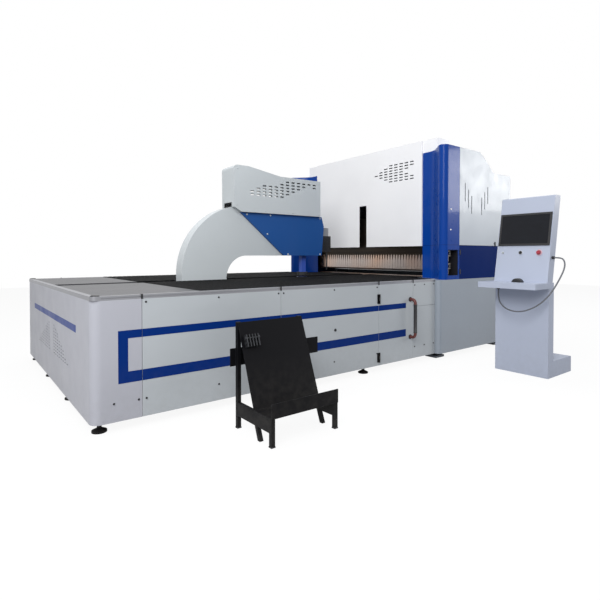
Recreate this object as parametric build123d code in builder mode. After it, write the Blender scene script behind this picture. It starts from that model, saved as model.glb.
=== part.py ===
from build123d import *
import math
import os

os.makedirs("parts", exist_ok=True)

# Whole machine, in millimetres: +X is the feed direction, Y = 0 the centre plane, Z = 0 the floor
base_length = 1570.0
bender_width = 3020.0
table_length = 3700.0
table_width = 2900.0
ground_gap = 70.0
table_height = 900.0
deck_thickness = 30.0
sheet = 4.0
pan_depth = 20.0
seam = 3.0
overrun = 10.0
slide_gap = 0.3
shaft_gap = 0.05

bender_front = -base_length / 2
bender_rear = base_length / 2
table_end = bender_front - table_length
half_table = table_width / 2
half_bender = bender_width / 2
deck_top = table_height + deck_thickness
panel_height = table_height - ground_gap

# Table frame of welded square tube on levelling feet
tube = 80.0
beam_height = 120.0
rail_beam_width = 100.0
rail_beam_height = 180.0
rail_spacing = 580.0
slot_width = 180.0
slot_lip = 5.0
foot_radius = 51.0
foot_rim = 12.0
foot_cone = 18.0
foot_stem_radius = 16.0
foot_sides = 16
frame_row_shares = (0.019, 0.36, 0.7073, 0.965)
foot_row_shares = (0.019, 0.7073)
foot_side_shares = (-0.94, -0.32, 0.32, 0.94)

foot_taper = math.degrees(math.atan2(foot_radius - foot_stem_radius, foot_cone))
frame_rows = [table_end + share * table_length for share in frame_row_shares]
frame_start = table_end + pan_depth + overrun
outer_beam_y = half_table - pan_depth - tube / 2
inner_beam_y = slot_width / 2 + slot_lip + tube / 2
cross_top = ground_gap + tube
rail_beam_top = cross_top + rail_beam_height
beam_bottom = table_height - beam_height

# Table covers
end_corner_radius = 65.0
end_return = 338.0
second_seam_share = 0.49235
door_width = 549.0
last_pan_length = 394.0
split_height = 640.0
rail_width = 40.0
rail_groove = 8.0
vent_rows = 10
vent_columns = 8
vent_length = 45.0
vent_height = 10.0
vent_pitch = 80.0
vent_row_pitch = 27.0
vent_gap = 200.0
vent_top = 582.0

door_end = table_length - last_pan_length
door_start = door_end - door_width
second_seam = end_return + second_seam_share * (door_start - end_return)

# Deck
steel_length = 800.0
steel_plate = 6.0
infeed_half = 1000.0
infeed_margin = 20.0

# Side door
hinge_height = 97.0
hinge_leaf_width = 22.0
hinge_leaf = 4.0
knuckle_radius = 8.0
hinge_pin_radius = 4.0
lower_hinge_height = 153.0
upper_hinge_height = 754.0
knuckle_share = 0.34
handle_bar_radius = 16.5
handle_bar_sides = 16
handle_bend_radius = 40.0
handle_standoff = 70.0
handle_low = 312.0
handle_high = 722.0
handle_inset = 46.0

# Linear guide, rack and pinion
guide_width = 34.0
guide_height = 30.0
guide_end_gap = 150.0
block_length = 120.0
block_width = 90.0
block_height = 58.0
block_lift = 12.0
gear_module = 10.0
pinion_teeth = 14
gear_face = 50.0
rack_back = 20.0
tooth_share = 0.4
addendum_share = 0.6
dedendum_share = 0.95
pressure_angle = 20.0
rack_reach_back = 1000.0
rack_reach_front = 1060.0

rail_y = rail_spacing / 2
guide_top = rail_beam_top + guide_height
carriage_bottom = rail_beam_top + block_lift + block_height
pitch_radius = gear_module * pinion_teeth / 2
tooth_pitch = math.pi * gear_module
addendum = addendum_share * gear_module
dedendum = dedendum_share * gear_module
rack_face_y = -(rail_y - rail_beam_width / 2) + rack_back
pinion_y = rack_face_y + dedendum + pitch_radius

# Carriage and clamp arm; places along X are counted from the arm's rest point on the table
arm_rest = 2062.0
arm_radius = 772.0
arm_arc_back = 73.0
arm_arc_height = 1001.0
arm_arc_end = 103.3
arm_thickness = 160.0
arm_heel_back = 149.0
arm_reach = 1060.0
beam_crest = 1700.0
throat_back = 317.0
throat_radius = 258.0
throat_ceiling = 1200.0
jaw_top = 860.0
carriage_plate_thickness = 40.0
carriage_back = 750.0
carriage_front = 630.0
carriage_width = 680.0
carriage_inset = 40.0
motor_side = 110.0
motor_length = 260.0
motor_back = 300.0
motor_edge = 12.0
motor_shaft_radius = 15.0
motor_shaft_seat = 40.0
shaft_hole_clearance = 8.0

arm_x = table_end + arm_rest
arc_x = arm_x - arm_arc_back
carriage_top = carriage_bottom + carriage_plate_thickness
pinion_x = arm_x - motor_back

# Clamp head
hood_width = 280.0
hood_rear_back = 255.0
hood_rear_height = 2226.0
hood_rear_radius = 48.0
hood_flat_back = 57.0
hood_kink_front = 386.0
hood_kink_height = 2153.0
hood_front = 1018.0
hood_front_height = 2152.0
hood_opening = 150.0
hood_port_width = 150.0
hood_port_height = 45.0
hood_vent_columns = 12
hood_vent_length = 50.0
hood_vent_pitch = 84.0
hood_vent_back = 11.0
hood_vent_base_share = 0.3761
hood_vent_row_share = 0.0827
hood_vent_slot_share = 0.43
hood_vent_low_shares = (1, 1, 1, 1, 1, 1, 2, 3, 4, 5, 6, 5)
hood_vent_high_shares = (2, 3, 4, 4, 4, 5, 6, 6, 6, 6, 6, 6)
cover_thickness = 25.0
cover_toe_front = 460.0
cover_front = 1066.0
cover_nose_front = 1106.0
cover_nose_height = 1580.0
cover_chin_front = 1070.0
turn_motor_length = 216.0
turn_motor_low = 1250.0
turn_motor_high = 1458.0
turn_cap_height = 108.0
turn_cap_inset = 22.0
probe_radius = 8.0
probe_low = 1014.0
probe_front = 1246.0

# Clamp ram, pad and turntable
ram_front = 830.0
ram_width = 63.0
ram_low = 990.0
ram_high = 1500.0
ram_gap = 0.5
rod_radius = 20.0
rod_high = 1760.0
barrel_radius = 45.0
barrel_high = 1950.0
barrel_cap = 20.0
barrel_flange = 130.0
barrel_flange_thickness = 20.0
pad_radius = 70.0
pad_rest_gap = 15.0
pad_edge = 6.0
spindle_radius = 20.0
spindle_length = 60.0
turntable_radius = 75.0
turntable_thickness = 26.0
turntable_shaft_radius = 30.0
housing_radius = 79.0

ram_x = arm_x + ram_front
hood_rise = min(hood_kink_height, hood_front_height) - beam_crest
hood_vent_base = beam_crest + hood_vent_base_share * hood_rise
hood_vent_row_pitch = hood_vent_row_share * hood_rise
hood_vent_height = hood_vent_slot_share * hood_vent_row_pitch

# Bender base and structure
anchor_spacing_x = 1280.0
anchor_spacing_y = 2680.0
anchor_hole_radius = 11.0
anchor_plate = 25.0
anchor_plate_width = 160.0
sill_inner = 1110.0
sill_width = 160.0
sill_height = 150.0
front_cross_width = 100.0
front_cross_setback = 85.0
rear_cross_start = 300.0
rear_cross_end = 650.0
bed_inner = 550.0
bed_width = 200.0
bed_height = 150.0
frame_half = 1150.0
frame_thickness = 60.0
frame_front_setback = 360.0
frame_throat_low = 700.0
frame_throat_high = 1330.0
frame_throat_end = 60.0
frame_toe_radius = 120.0

# Press beam, tools and lift cylinders
tool_setback = 400.0
beam_overhang = 20.0
beam_depth = 360.0
beam_low = 1250.0
beam_high = 1740.0
beam_nose_depth = 150.0
beam_nose_high = 1400.0
beam_shoulder = 1500.0
tool_half = 1080.0
tool_count = 46
tool_gap = 4.0
tool_depth = 80.0
tool_low = 1000.0
tool_high = 1120.0
tool_nose = 30.0
tang_depth = 10.0
tang_high = 1210.0
tang_width = 14.0
strip_depth = 80.0
lower_tool_depth = 90.0
lower_tool_height = 40.0
lower_tool_edge = 12.0
lower_beam_setback = 20.0
lower_beam_depth = 300.0
lower_beam_shoulder = 560.0
lower_beam_neck = 80.0
crown_low = 2100.0
cylinder_y = 800.0
cylinder_radius = 70.0
cylinder_low = 1880.0
lift_rod_radius = 35.0
lift_rod_high = 1970.0

# Bending blades behind the tools
blade_jaw_start = 0.0
blade_back_start = 215.0
blade_back_depth = 150.0
blade_frame_low = 450.0
blade_frame_high = 1500.0
blade_half = 1030.0
upper_jaw_low = 1180.0
upper_jaw_high = 1350.0
lower_jaw_low = 560.0
lower_jaw_high = 740.0
blade_reach = 235.0
blade_tip = 30.0
blade_root = 80.0
upper_blade_tip_low = 985.0
lower_blade_tip_high = 890.0
blade_edge = 25.0
carriage_beam_depth = 200.0
carriage_beam_height = 130.0
guide_post_y = 650.0
guide_post_width = 100.0
guide_post_depth = 100.0
guide_post_high = 1450.0

# Bender covers
base_cover_high = 918.0
band_high = 1325.0
column_high = 2490.0
base_corner_radius = 45.0
column_rear_setback = 390.0
nose_setback = 20.0
nose_radius = 60.0
column_bend_y = 1200.0
column_bend_radius = 200.0
cover_setback = 300.0
cover_step = 20.0
cover_main_half = 1030.0
cover_half = 1250.0
cover_low = 1320.0
cover_high = 2645.0
cover_box_depth = 230.0
cover_slot_width = 140.0
cover_slot_high = 1910.0
cover_vent_length = 60.0
cover_vent_height = 14.0
cover_vent_pitch = 88.0
cover_vent_row_pitch = 36.0
cover_vent_columns = 8
cover_vent_rows = 3
cover_vent_start_y = 255.0
cover_vent_z = 2303.0
roof_drop_start = 35.0
roof_drop_mid = 185.0
roof_drop_end = 345.0
roof_mid_high = 2398.0
roof_low = 2264.0
side_slot_width = 15.0
side_slot_height = 215.0
side_slot_pitch = 70.0
side_slot_step = 72.0
side_slot_inner = 112.0
side_slot_centre_x = -27.0
side_slot_low_z = 1820.0
pocket_start = 160.0
pocket_length = 205.0
pocket_low = 962.0
pocket_high = 1270.0
pocket_depth = 120.0
air_body_width = 60.0
air_body_height = 70.0
air_body_depth = 60.0
air_bowl_radius = 22.0
air_bowl_length = 60.0
air_low_z = 980.0
air_pitch_z = 150.0

# Operator console, which stands by itself and faces the feed table's end
console_x = -625.0
console_y = -2365.0
console_width = 540.0
console_base_depth = 520.0
console_base_height = 160.0
console_edge = 18.0
column_depth = 110.0
shelf_depth = 320.0
shelf_width = 580.0
shelf_thickness = 55.0
shelf_top = 935.0
head_overhang = 30.0
head_lean = 160.0
head_high = 1800.0
head_depth = 112.0
head_edge = 12.0
screen_width = 520.0
screen_height = 336.0
screen_centre = 539.0
screen_frame = 20.0
screen_depth = 10.0
glass_depth = 6.0
control_height = 300.0
estop_side = 165.0
estop_radius = 20.0
estop_stem_radius = 11.0
estop_head = 16.0
estop_lift = 8.0
estop_stem = 24.0
estop_dome = 5.0
lamp_side = -205.0
lamp_radius = 8.0
lamp_height = 7.0
knob_side = -20.0
knob_radius = 15.0
knob_height = 18.0
knob_grip = 9.0
knob_grip_length = 25.0
knob_stem_radius = 6.0
knob_stem = 20.0
mouse_length = 105.0
mouse_width = 62.0
mouse_height = 40.0
mouse_edge = 8.0
mouse_side = -25.0
mouse_front = 120.0

# Cable from the head's side to the underside of the shelf
cable_radius = 7.0
cable_sides = 16
gland_radius = 14.0
gland_length = 24.0
cable_run_share = 0.45
cable_route = [
    (-560.0, -2659.0, 1180.0),
    (-560.0, -2717.0, 1180.0),
    (-566.0, -2756.0, 1157.0),
    (-577.0, -2777.0, 1117.0),
    (-593.0, -2777.0, 1068.0),
    (-614.0, -2762.0, 1016.0),
    (-640.0, -2741.0, 961.0),
    (-668.0, -2716.0, 905.0),
    (-697.0, -2685.0, 849.0),
    (-726.0, -2645.0, 795.0),
    (-751.0, -2596.0, 746.0),
    (-768.0, -2537.0, 706.0),
    (-776.0, -2471.0, 679.0),
    (-777.0, -2402.0, 668.0),
    (-771.0, -2334.0, 674.0),
    (-760.0, -2272.0, 698.0),
    (-751.0, -2222.0, 739.0),
    (-742.0, -2190.0, 795.0),
    (-742.0, -2190.0, 856.0),
]

# Part stand, which stands by itself beside the feed table
stand_x = 844.0
stand_width = 555.0
stand_gap = 432.0
stand_depth = 431.0
stand_height = 740.0
stand_tube = 28.0
stand_tray_depth = 205.0
stand_tray_height = 180.0
stand_lip_height = 97.0
stand_plate = 5.0
stand_slope = 226.0
stand_rail_height = 90.0
stand_bar_low = 433.0
stand_bar_height = 123.0
stand_bar_overhang = 190.0
stand_bar_start = 40.0
stand_bar_thickness = 8.0
clamp_size = 84.0
clamp_flange = 14.0
clamp_body = 100.0
clamp_rib = 8.0
clamp_rib_count = 5
clamp_rib_height = 30.0
clamp_side = 70.0
clamp_height = 610.0


def block(low, high, mode=Mode.ADD):
    """Add a box that reaches from one corner to the opposite one."""
    size = Vector(*high) - Vector(*low)
    with Locations(low):
        Box(size.X, size.Y, size.Z, align=(Align.MIN, Align.MIN, Align.MIN), mode=mode)


def side_pan(start, end, low, high, side):
    """Add a folded pan on one long side of the table, with its skin outside and its flanges turned in."""
    faces = sorted((side * half_table, side * (half_table - pan_depth)))
    hollow = sorted((side * (half_table - sheet), side * (half_table - pan_depth - overrun)))
    block((start, faces[0], low), (end, faces[1], high))
    block(
        (start + sheet, hollow[0], low + sheet),
        (end - sheet, hollow[1], high - sheet),
        mode=Mode.SUBTRACT,
    )


def mirrored(low, high):
    """Add a box and its mirror image across the centre plane."""
    block(low, high)
    block((low[0], -high[1], low[2]), (high[0], -low[1], high[2]))


# Long tubes of the table frame: outer deck beams, inner deck beams beside the slot, and rail beams
with BuildPart() as table_beams:
    for centre, half, low, high in (
        (outer_beam_y, tube / 2, beam_bottom, table_height),
        (inner_beam_y, tube / 2, beam_bottom, table_height),
        (rail_y, rail_beam_width / 2, cross_top, rail_beam_top),
    ):
        mirrored((frame_start, centre - half, low), (bender_front, centre + half, high))
table_beams.part.label = "table_beams"
export_step(table_beams.part, "parts/table_beams.step")

# Cross tubes: one low across the whole width and one high on each side, in every row of the frame
with BuildPart() as table_cross_tubes:
    for row in frame_rows:
        block(
            (row - tube / 2, -half_table + pan_depth, ground_gap),
            (row + tube / 2, half_table - pan_depth, cross_top),
        )
        mirrored(
            (row - tube / 2, inner_beam_y + tube / 2, beam_bottom),
            (row + tube / 2, outer_beam_y - tube / 2, beam_bottom + tube),
        )
table_cross_tubes.part.label = "table_cross_tubes"
export_step(table_cross_tubes.part, "parts/table_cross_tubes.step")

# Posts between the low cross tubes and the outer deck beams
with BuildPart() as table_posts:
    for row in frame_rows:
        mirrored(
            (row - tube / 2, outer_beam_y - tube / 2, cross_top),
            (row + tube / 2, outer_beam_y + tube / 2, beam_bottom),
        )
table_posts.part.label = "table_posts"
export_step(table_posts.part, "parts/table_posts.step")

# Levelling feet: a rim, a sloped top and a hexagonal stem
with BuildPart() as table_feet:
    foot_places = [
        (table_end + along * table_length, across * half_table)
        for along in foot_row_shares
        for across in foot_side_shares
    ]
    with BuildSketch():
        with Locations(*foot_places):
            RegularPolygon(foot_radius, foot_sides)
    extrude(amount=foot_rim)
    with BuildSketch(Plane.XY.offset(foot_rim)):
        with Locations(*foot_places):
            RegularPolygon(foot_radius, foot_sides)
    extrude(amount=foot_cone, taper=foot_taper)
    with BuildSketch(Plane.XY.offset(foot_rim + foot_cone)):
        with Locations(*foot_places):
            RegularPolygon(foot_stem_radius, 6)
    extrude(amount=ground_gap - foot_rim - foot_cone)
table_feet.part.label = "table_feet"
export_step(table_feet.part, "parts/table_feet.step")

# End cover: one sheet folded round both corners, with two triangles of vent slots
with BuildPart() as table_end_cover:
    with BuildSketch(Plane.XY.offset(ground_gap)):
        with BuildLine():
            FilletPolyline(
                (table_end + end_return - seam, -half_table),
                (table_end, -half_table),
                (table_end, half_table),
                (table_end + end_return - seam, half_table),
                radius=end_corner_radius,
            )
            offset(amount=sheet, side=Side.RIGHT)
        make_face()
    extrude(amount=panel_height)
    with BuildSketch(Plane.YZ.offset(table_end - overrun)):
        for row in range(vent_rows):
            slots = 1 + round(row * (vent_columns - 1) / (vent_rows - 1))
            row_z = vent_top - row * vent_row_pitch
            for column in range(slots):
                slot_y = vent_gap / 2 + vent_length / 2 + column * vent_pitch
                with Locations((slot_y, row_z), (-slot_y, row_z)):
                    Rectangle(vent_length, vent_height)
    extrude(amount=sheet + 2 * overrun, mode=Mode.SUBTRACT)
table_end_cover.part.label = "table_end_cover"
export_step(table_end_cover.part, "parts/table_end_cover.step")

# Fixed side pans of the table: four on the door side, three on the far side
with BuildPart() as table_panels:
    for start, end, low, high, side in (
        (end_return, second_seam, ground_gap, table_height, -1),
        (second_seam, door_start, ground_gap, table_height, -1),
        (door_end, table_length, split_height, table_height, -1),
        (door_end, table_length, ground_gap, split_height - seam, -1),
        (end_return, second_seam, ground_gap, table_height, 1),
        (second_seam, door_start, ground_gap, table_height, 1),
        (door_start, table_length, ground_gap, table_height, 1),
    ):
        side_pan(table_end + start, table_end + end - seam, low, high, side)
table_panels.part.label = "table_panels"
export_step(table_panels.part, "parts/table_panels.step")

# Edge rails round the deck, with a groove along the outside of each long rail
with BuildPart() as top_rails:
    mirrored(
        (table_end + rail_width, half_table - rail_width, table_height),
        (bender_front, half_table, deck_top),
    )
    block((table_end, -half_table, table_height), (table_end + rail_width, half_table, deck_top))
    corner_edges = top_rails.edges().filter_by(Axis.Z).group_by(Axis.X)[0]
    fillet(corner_edges, rail_width - seam)
    groove_low = table_height + (deck_thickness - rail_groove) / 2
    for side in (-1, 1):
        groove_y = sorted((side * (half_table - rail_groove), side * (half_table + overrun)))
        block(
            (table_end + end_corner_radius, groove_y[0], groove_low),
            (bender_front + overrun, groove_y[1], groove_low + rail_groove),
            mode=Mode.SUBTRACT,
        )
top_rails.part.label = "top_rails"
export_step(top_rails.part, "parts/top_rails.step")

# Steel deck plates at the loading end: trays with folded edges, one on each side of the slot
with BuildPart() as steel_top_plates:
    plate_low = (table_end + rail_width, slot_width / 2, table_height)
    plate_high = (table_end + steel_length, half_table - rail_width, deck_top)
    mirrored(plate_low, plate_high)
    tray_low = (plate_low[0] + steel_plate, plate_low[1] + steel_plate, table_height - overrun)
    tray_high = (plate_high[0] - steel_plate, plate_high[1] - steel_plate, deck_top - steel_plate)
    for side in (-1, 1):
        tray_y = sorted((side * tray_low[1], side * tray_high[1]))
        block(
            (tray_low[0], tray_y[0], tray_low[2]),
            (tray_high[0], tray_y[1], tray_high[2]),
            mode=Mode.SUBTRACT,
        )
steel_top_plates.part.label = "steel_top_plates"
export_step(steel_top_plates.part, "parts/steel_top_plates.step")

# Brush decks from the steel plates to the tools, narrower between the bender's columns
tool_front = bender_front + tool_setback
infeed_end = tool_front - infeed_margin
with BuildPart() as brush_tables:
    with BuildSketch(Plane.XY.offset(table_height)):
        Polygon(
            (table_end + steel_length, slot_width / 2),
            (infeed_end, slot_width / 2),
            (infeed_end, infeed_half),
            (bender_front, infeed_half),
            (bender_front, half_table - rail_width),
            (table_end + steel_length, half_table - rail_width),
            align=None,
        )
        mirror(about=Plane.XZ)
    extrude(amount=deck_thickness)
brush_tables.part.label = "brush_tables"
export_step(brush_tables.part, "parts/brush_tables.step")

# Guide rails on the rail beams
guide_start = table_end + guide_end_gap
with BuildPart() as guide_rails:
    mirrored(
        (guide_start, rail_y - guide_width / 2, rail_beam_top),
        (bender_front, rail_y + guide_width / 2, guide_top),
    )
    rail_tops = guide_rails.edges().filter_by(Axis.X).group_by(Axis.Z)[-1]
    chamfer(rail_tops, guide_width / 8)
guide_rails.part.label = "guide_rails"
export_step(guide_rails.part, "parts/guide_rails.step")

# Gear rack on the inner face of one rail beam, with a tooth space opposite the pinion
rack_low = rail_beam_top - gear_face
rack_root_y = rack_face_y
tooth_height = addendum + dedendum
tooth_thickness = tooth_share * tooth_pitch
tooth_base = tooth_thickness + 2 * dedendum * math.tan(math.radians(pressure_angle))
teeth_back = math.floor(rack_reach_back / tooth_pitch)
teeth_front = math.floor(rack_reach_front / tooth_pitch)
with BuildPart() as gear_rack:
    with BuildSketch(Plane.XY.offset(rack_low)):
        with Locations((pinion_x - teeth_back * tooth_pitch, rack_root_y)):
            Rectangle(
                (teeth_back + teeth_front) * tooth_pitch, rack_back, align=(Align.MIN, Align.MAX)
            )
        for tooth in range(-teeth_back, teeth_front):
            with Locations((pinion_x + tooth * tooth_pitch + tooth_pitch / 2, rack_root_y)):
                Trapezoid(
                    tooth_base, tooth_height, 90 - pressure_angle, align=(Align.CENTER, Align.MIN)
                )
    extrude(amount=gear_face)
gear_rack.part.label = "gear_rack"
export_step(gear_rack.part, "parts/gear_rack.step")

# Drive pinion on its shaft, with one tooth turned into the rack
pinion_root = pitch_radius - dedendum
with BuildPart() as drive_pinion:
    with BuildSketch(Plane.XY.offset(rack_low)):
        with Locations((pinion_x, pinion_y)):
            Circle(pinion_root + addendum / 2)
            with PolarLocations(pinion_root, pinion_teeth, start_angle=-90):
                Trapezoid(
                    tooth_base,
                    tooth_height,
                    90 - pressure_angle,
                    rotation=-90,
                    align=(Align.CENTER, Align.MIN),
                )
    extrude(amount=gear_face)
    with Locations((pinion_x, pinion_y, rack_low + gear_face)):
        Cylinder(
            motor_shaft_radius,
            carriage_top + motor_shaft_seat - rack_low - gear_face,
            align=(Align.CENTER, Align.CENTER, Align.MIN),
        )
drive_pinion.part.label = "drive_pinion"
export_step(drive_pinion.part, "parts/drive_pinion.step")

# Carriage plate that runs under the deck
with BuildPart() as carriage_plate:
    block(
        (arm_x - carriage_back, -carriage_width / 2, carriage_bottom),
        (arm_x + carriage_front, carriage_width / 2, carriage_top),
    )
    with Locations((pinion_x, pinion_y, carriage_bottom)):
        Cylinder(
            motor_shaft_radius + shaft_hole_clearance,
            2 * carriage_plate_thickness + 2 * overrun,
            mode=Mode.SUBTRACT,
        )
carriage_plate.part.label = "carriage_plate"
export_step(carriage_plate.part, "parts/carriage_plate.step")

# Bearing blocks: saddles over the guide rails at the carriage's corners
with BuildPart() as bearing_blocks:
    block_centres = (
        arm_x - carriage_back + carriage_inset + block_length / 2,
        arm_x + carriage_front - carriage_inset - block_length / 2,
    )
    for centre in block_centres:
        for side in (-1, 1):
            block(
                (centre - block_length / 2, side * rail_y - block_width / 2, carriage_bottom - block_height),
                (centre + block_length / 2, side * rail_y + block_width / 2, carriage_bottom),
            )
            block(
                (
                    centre - block_length / 2 - overrun,
                    side * rail_y - guide_width / 2 - slide_gap,
                    carriage_bottom - block_height - overrun,
                ),
                (
                    centre + block_length / 2 + overrun,
                    side * rail_y + guide_width / 2 + slide_gap,
                    guide_top + slide_gap,
                ),
                mode=Mode.SUBTRACT,
            )
bearing_blocks.part.label = "bearing_blocks"
export_step(bearing_blocks.part, "parts/bearing_blocks.step")

# Drive motor that stands on the carriage plate over the pinion
with BuildPart() as drive_motor:
    with BuildSketch(Plane.XY.offset(carriage_top)):
        with Locations((pinion_x, pinion_y)):
            RectangleRounded(motor_side, motor_side, motor_edge)
            Circle(motor_shaft_radius + shaft_gap, mode=Mode.SUBTRACT)
    extrude(amount=motor_shaft_seat + overrun)
    with BuildSketch(Plane.XY.offset(carriage_top + motor_shaft_seat + overrun)):
        with Locations((pinion_x, pinion_y)):
            RectangleRounded(motor_side, motor_side, motor_edge)
    extrude(amount=motor_length - motor_shaft_seat - overrun)
drive_motor.part.label = "drive_motor"
export_step(drive_motor.part, "parts/drive_motor.step")

# Clamp arm: a C with a round back, a jaw under the deck and a beam over it
arc_angle = math.radians(arm_arc_end)
arc_start = (arc_x - arm_radius, arm_arc_height)
arc_mid_angle = (math.pi + arc_angle) / 2
arc_mid = (
    arc_x + arm_radius * math.cos(arc_mid_angle),
    arm_arc_height + arm_radius * math.sin(arc_mid_angle),
)
arc_end = (arc_x + arm_radius * math.cos(arc_angle), arm_arc_height + arm_radius * math.sin(arc_angle))
arm_heel = (arm_x - arm_heel_back, beam_crest)
throat_corner = (arm_x - throat_back, throat_ceiling)
with BuildPart() as c_arm:
    with BuildSketch(Plane.XZ) as arm_side:
        with BuildLine():
            Polyline(
                arc_end,
                arm_heel,
                (arm_x + arm_reach, beam_crest),
                (arm_x + arm_reach, throat_ceiling),
                throat_corner,
                (arm_x - throat_back, jaw_top),
                (arm_x + arm_reach, jaw_top),
                (arm_x + arm_reach, carriage_top),
                (arc_x - arm_radius, carriage_top),
                arc_start,
            )
            ThreePointArc(arc_start, arc_mid, arc_end)
        make_face()
        fillet(arm_side.vertices().sort_by_distance(throat_corner)[0], throat_radius)
    extrude(amount=arm_thickness / 2, both=True)
    block(
        (ram_x - ram_width / 2 - ram_gap, -ram_width / 2 - ram_gap, throat_ceiling - overrun),
        (ram_x + ram_width / 2 + ram_gap, ram_width / 2 + ram_gap, beam_crest + overrun),
        mode=Mode.SUBTRACT,
    )
c_arm.part.label = "c_arm"
export_step(c_arm.part, "parts/c_arm.step")

# Head hood: a hollow sheet housing on the beam, with vent slots and a cable port in its rear face
with BuildPart() as head_hood:
    with BuildSketch(Plane.XZ) as hood_side:
        Polygon(
            arm_heel,
            (arm_x + hood_front, beam_crest),
            (arm_x + hood_front, hood_front_height),
            (arm_x + hood_kink_front, hood_kink_height),
            (arm_x - hood_flat_back, hood_rear_height),
            (arm_x - hood_rear_back, hood_rear_height),
            arc_end,
            align=None,
        )
        rear_corner = (arm_x - hood_rear_back, hood_rear_height)
        fillet(hood_side.vertices().sort_by_distance(rear_corner)[0], hood_rear_radius)
    extrude(amount=hood_width / 2, both=True)
    with BuildSketch(Plane.XZ) as hood_hollow:
        Polygon(
            (arm_heel[0], beam_crest + sheet),
            (arm_x + hood_front - sheet, beam_crest + sheet),
            (arm_x + hood_front - sheet, hood_front_height - sheet),
            (arm_x + hood_kink_front, hood_kink_height - sheet),
            (arm_x - hood_flat_back, hood_rear_height - sheet),
            (arm_x - hood_rear_back + sheet, hood_rear_height - sheet),
            (arc_end[0] + sheet, arc_end[1] + sheet),
            align=None,
        )
        fillet(hood_hollow.vertices().sort_by_distance(rear_corner)[0], hood_rear_radius - sheet)
    extrude(amount=hood_width / 2 - sheet, both=True, mode=Mode.SUBTRACT)
    block(
        (ram_x - hood_opening / 2, -hood_opening / 2, beam_crest - overrun),
        (ram_x + hood_opening / 2, hood_opening / 2, beam_crest + sheet + overrun),
        mode=Mode.SUBTRACT,
    )
    block(
        (arc_end[0] - overrun, -hood_port_width / 2, arc_end[1] + sheet),
        (arc_end[0] + overrun, hood_port_width / 2, arc_end[1] + sheet + hood_port_height),
        mode=Mode.SUBTRACT,
    )
    with BuildSketch(Plane.XZ.offset(-hood_width / 2 - overrun)):
        for column in range(hood_vent_columns):
            low_row = hood_vent_low_shares[column]
            high_row = hood_vent_high_shares[column]
            slot_x = arm_x - hood_vent_back + column * hood_vent_pitch
            for row in range(low_row, high_row + 1):
                with Locations((slot_x, hood_vent_base + row * hood_vent_row_pitch)):
                    Rectangle(hood_vent_length, hood_vent_height)
    extrude(amount=hood_width + 2 * overrun, mode=Mode.SUBTRACT)
head_hood.part.label = "head_hood"
export_step(head_hood.part, "parts/head_hood.step")

# Coloured side covers on both faces of the beam
with BuildPart() as arm_covers:
    with BuildSketch(Plane.XZ.offset(arm_thickness / 2)):
        Polygon(
            arm_heel,
            (arm_x + cover_front, beam_crest),
            (arm_x + cover_nose_front, cover_nose_height),
            (arm_x + cover_chin_front, throat_ceiling),
            (arm_x + cover_toe_front, throat_ceiling),
            align=None,
        )
    extrude(amount=cover_thickness)
    mirror(about=Plane.XZ)
arm_covers.part.label = "arm_covers"
export_step(arm_covers.part, "parts/arm_covers.step")

# Clamp cylinder on the beam, inside the hood
with BuildPart() as press_cylinder:
    with BuildSketch(Plane.XY.offset(beam_crest)):
        with Locations((ram_x, 0)):
            Rectangle(barrel_flange, barrel_flange)
            Circle(rod_radius + shaft_gap, mode=Mode.SUBTRACT)
    extrude(amount=barrel_flange_thickness)
    with BuildSketch(Plane.XY.offset(beam_crest + barrel_flange_thickness)):
        with Locations((ram_x, 0)):
            Circle(barrel_radius)
            Circle(rod_radius + shaft_gap, mode=Mode.SUBTRACT)
    extrude(amount=barrel_high - barrel_cap - beam_crest - barrel_flange_thickness)
    with BuildSketch(Plane.XY.offset(barrel_high - barrel_cap)):
        with Locations((ram_x, 0)):
            Circle(barrel_radius)
    extrude(amount=barrel_cap)
press_cylinder.part.label = "press_cylinder"
export_step(press_cylinder.part, "parts/press_cylinder.step")

# Turning motor on the beam's front end, with its cap and the sheet probe below it
motor_front_x = arm_x + arm_reach
with BuildPart() as turn_motor:
    with BuildSketch(Plane.XY.offset(turn_motor_low)):
        with Locations((motor_front_x + turn_motor_length / 2, 0)):
            RectangleRounded(turn_motor_length, motor_side, motor_edge)
    extrude(amount=turn_motor_high - turn_motor_low)
    with BuildSketch(Plane.XY.offset(turn_motor_high)):
        with Locations((motor_front_x + turn_motor_length / 2, 0)):
            RectangleRounded(
                turn_motor_length - 2 * turn_cap_inset, motor_side - 2 * turn_cap_inset, motor_edge
            )
    extrude(amount=turn_cap_height)
    with Locations((arm_x + probe_front, 0, turn_motor_low)):
        Cylinder(
            probe_radius, turn_motor_low - probe_low, align=(Align.CENTER, Align.CENTER, Align.MAX)
        )
turn_motor.part.label = "turn_motor"
export_step(turn_motor.part, "parts/turn_motor.step")

# Clamp ram: a square post in the beam with its rod above and the pad's bearing bore below
with BuildPart() as press_ram:
    block(
        (ram_x - ram_width / 2, -ram_width / 2, ram_low),
        (ram_x + ram_width / 2, ram_width / 2, ram_high),
    )
    with Locations((ram_x, 0, ram_high)):
        Cylinder(rod_radius, rod_high - ram_high, align=(Align.CENTER, Align.CENTER, Align.MIN))
    with Locations((ram_x, 0, ram_low)):
        Cylinder(
            spindle_radius + shaft_gap,
            spindle_length + slide_gap,
            align=(Align.CENTER, Align.CENTER, Align.MIN),
            mode=Mode.SUBTRACT,
        )
press_ram.part.label = "press_ram"
export_step(press_ram.part, "parts/press_ram.step")

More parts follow.
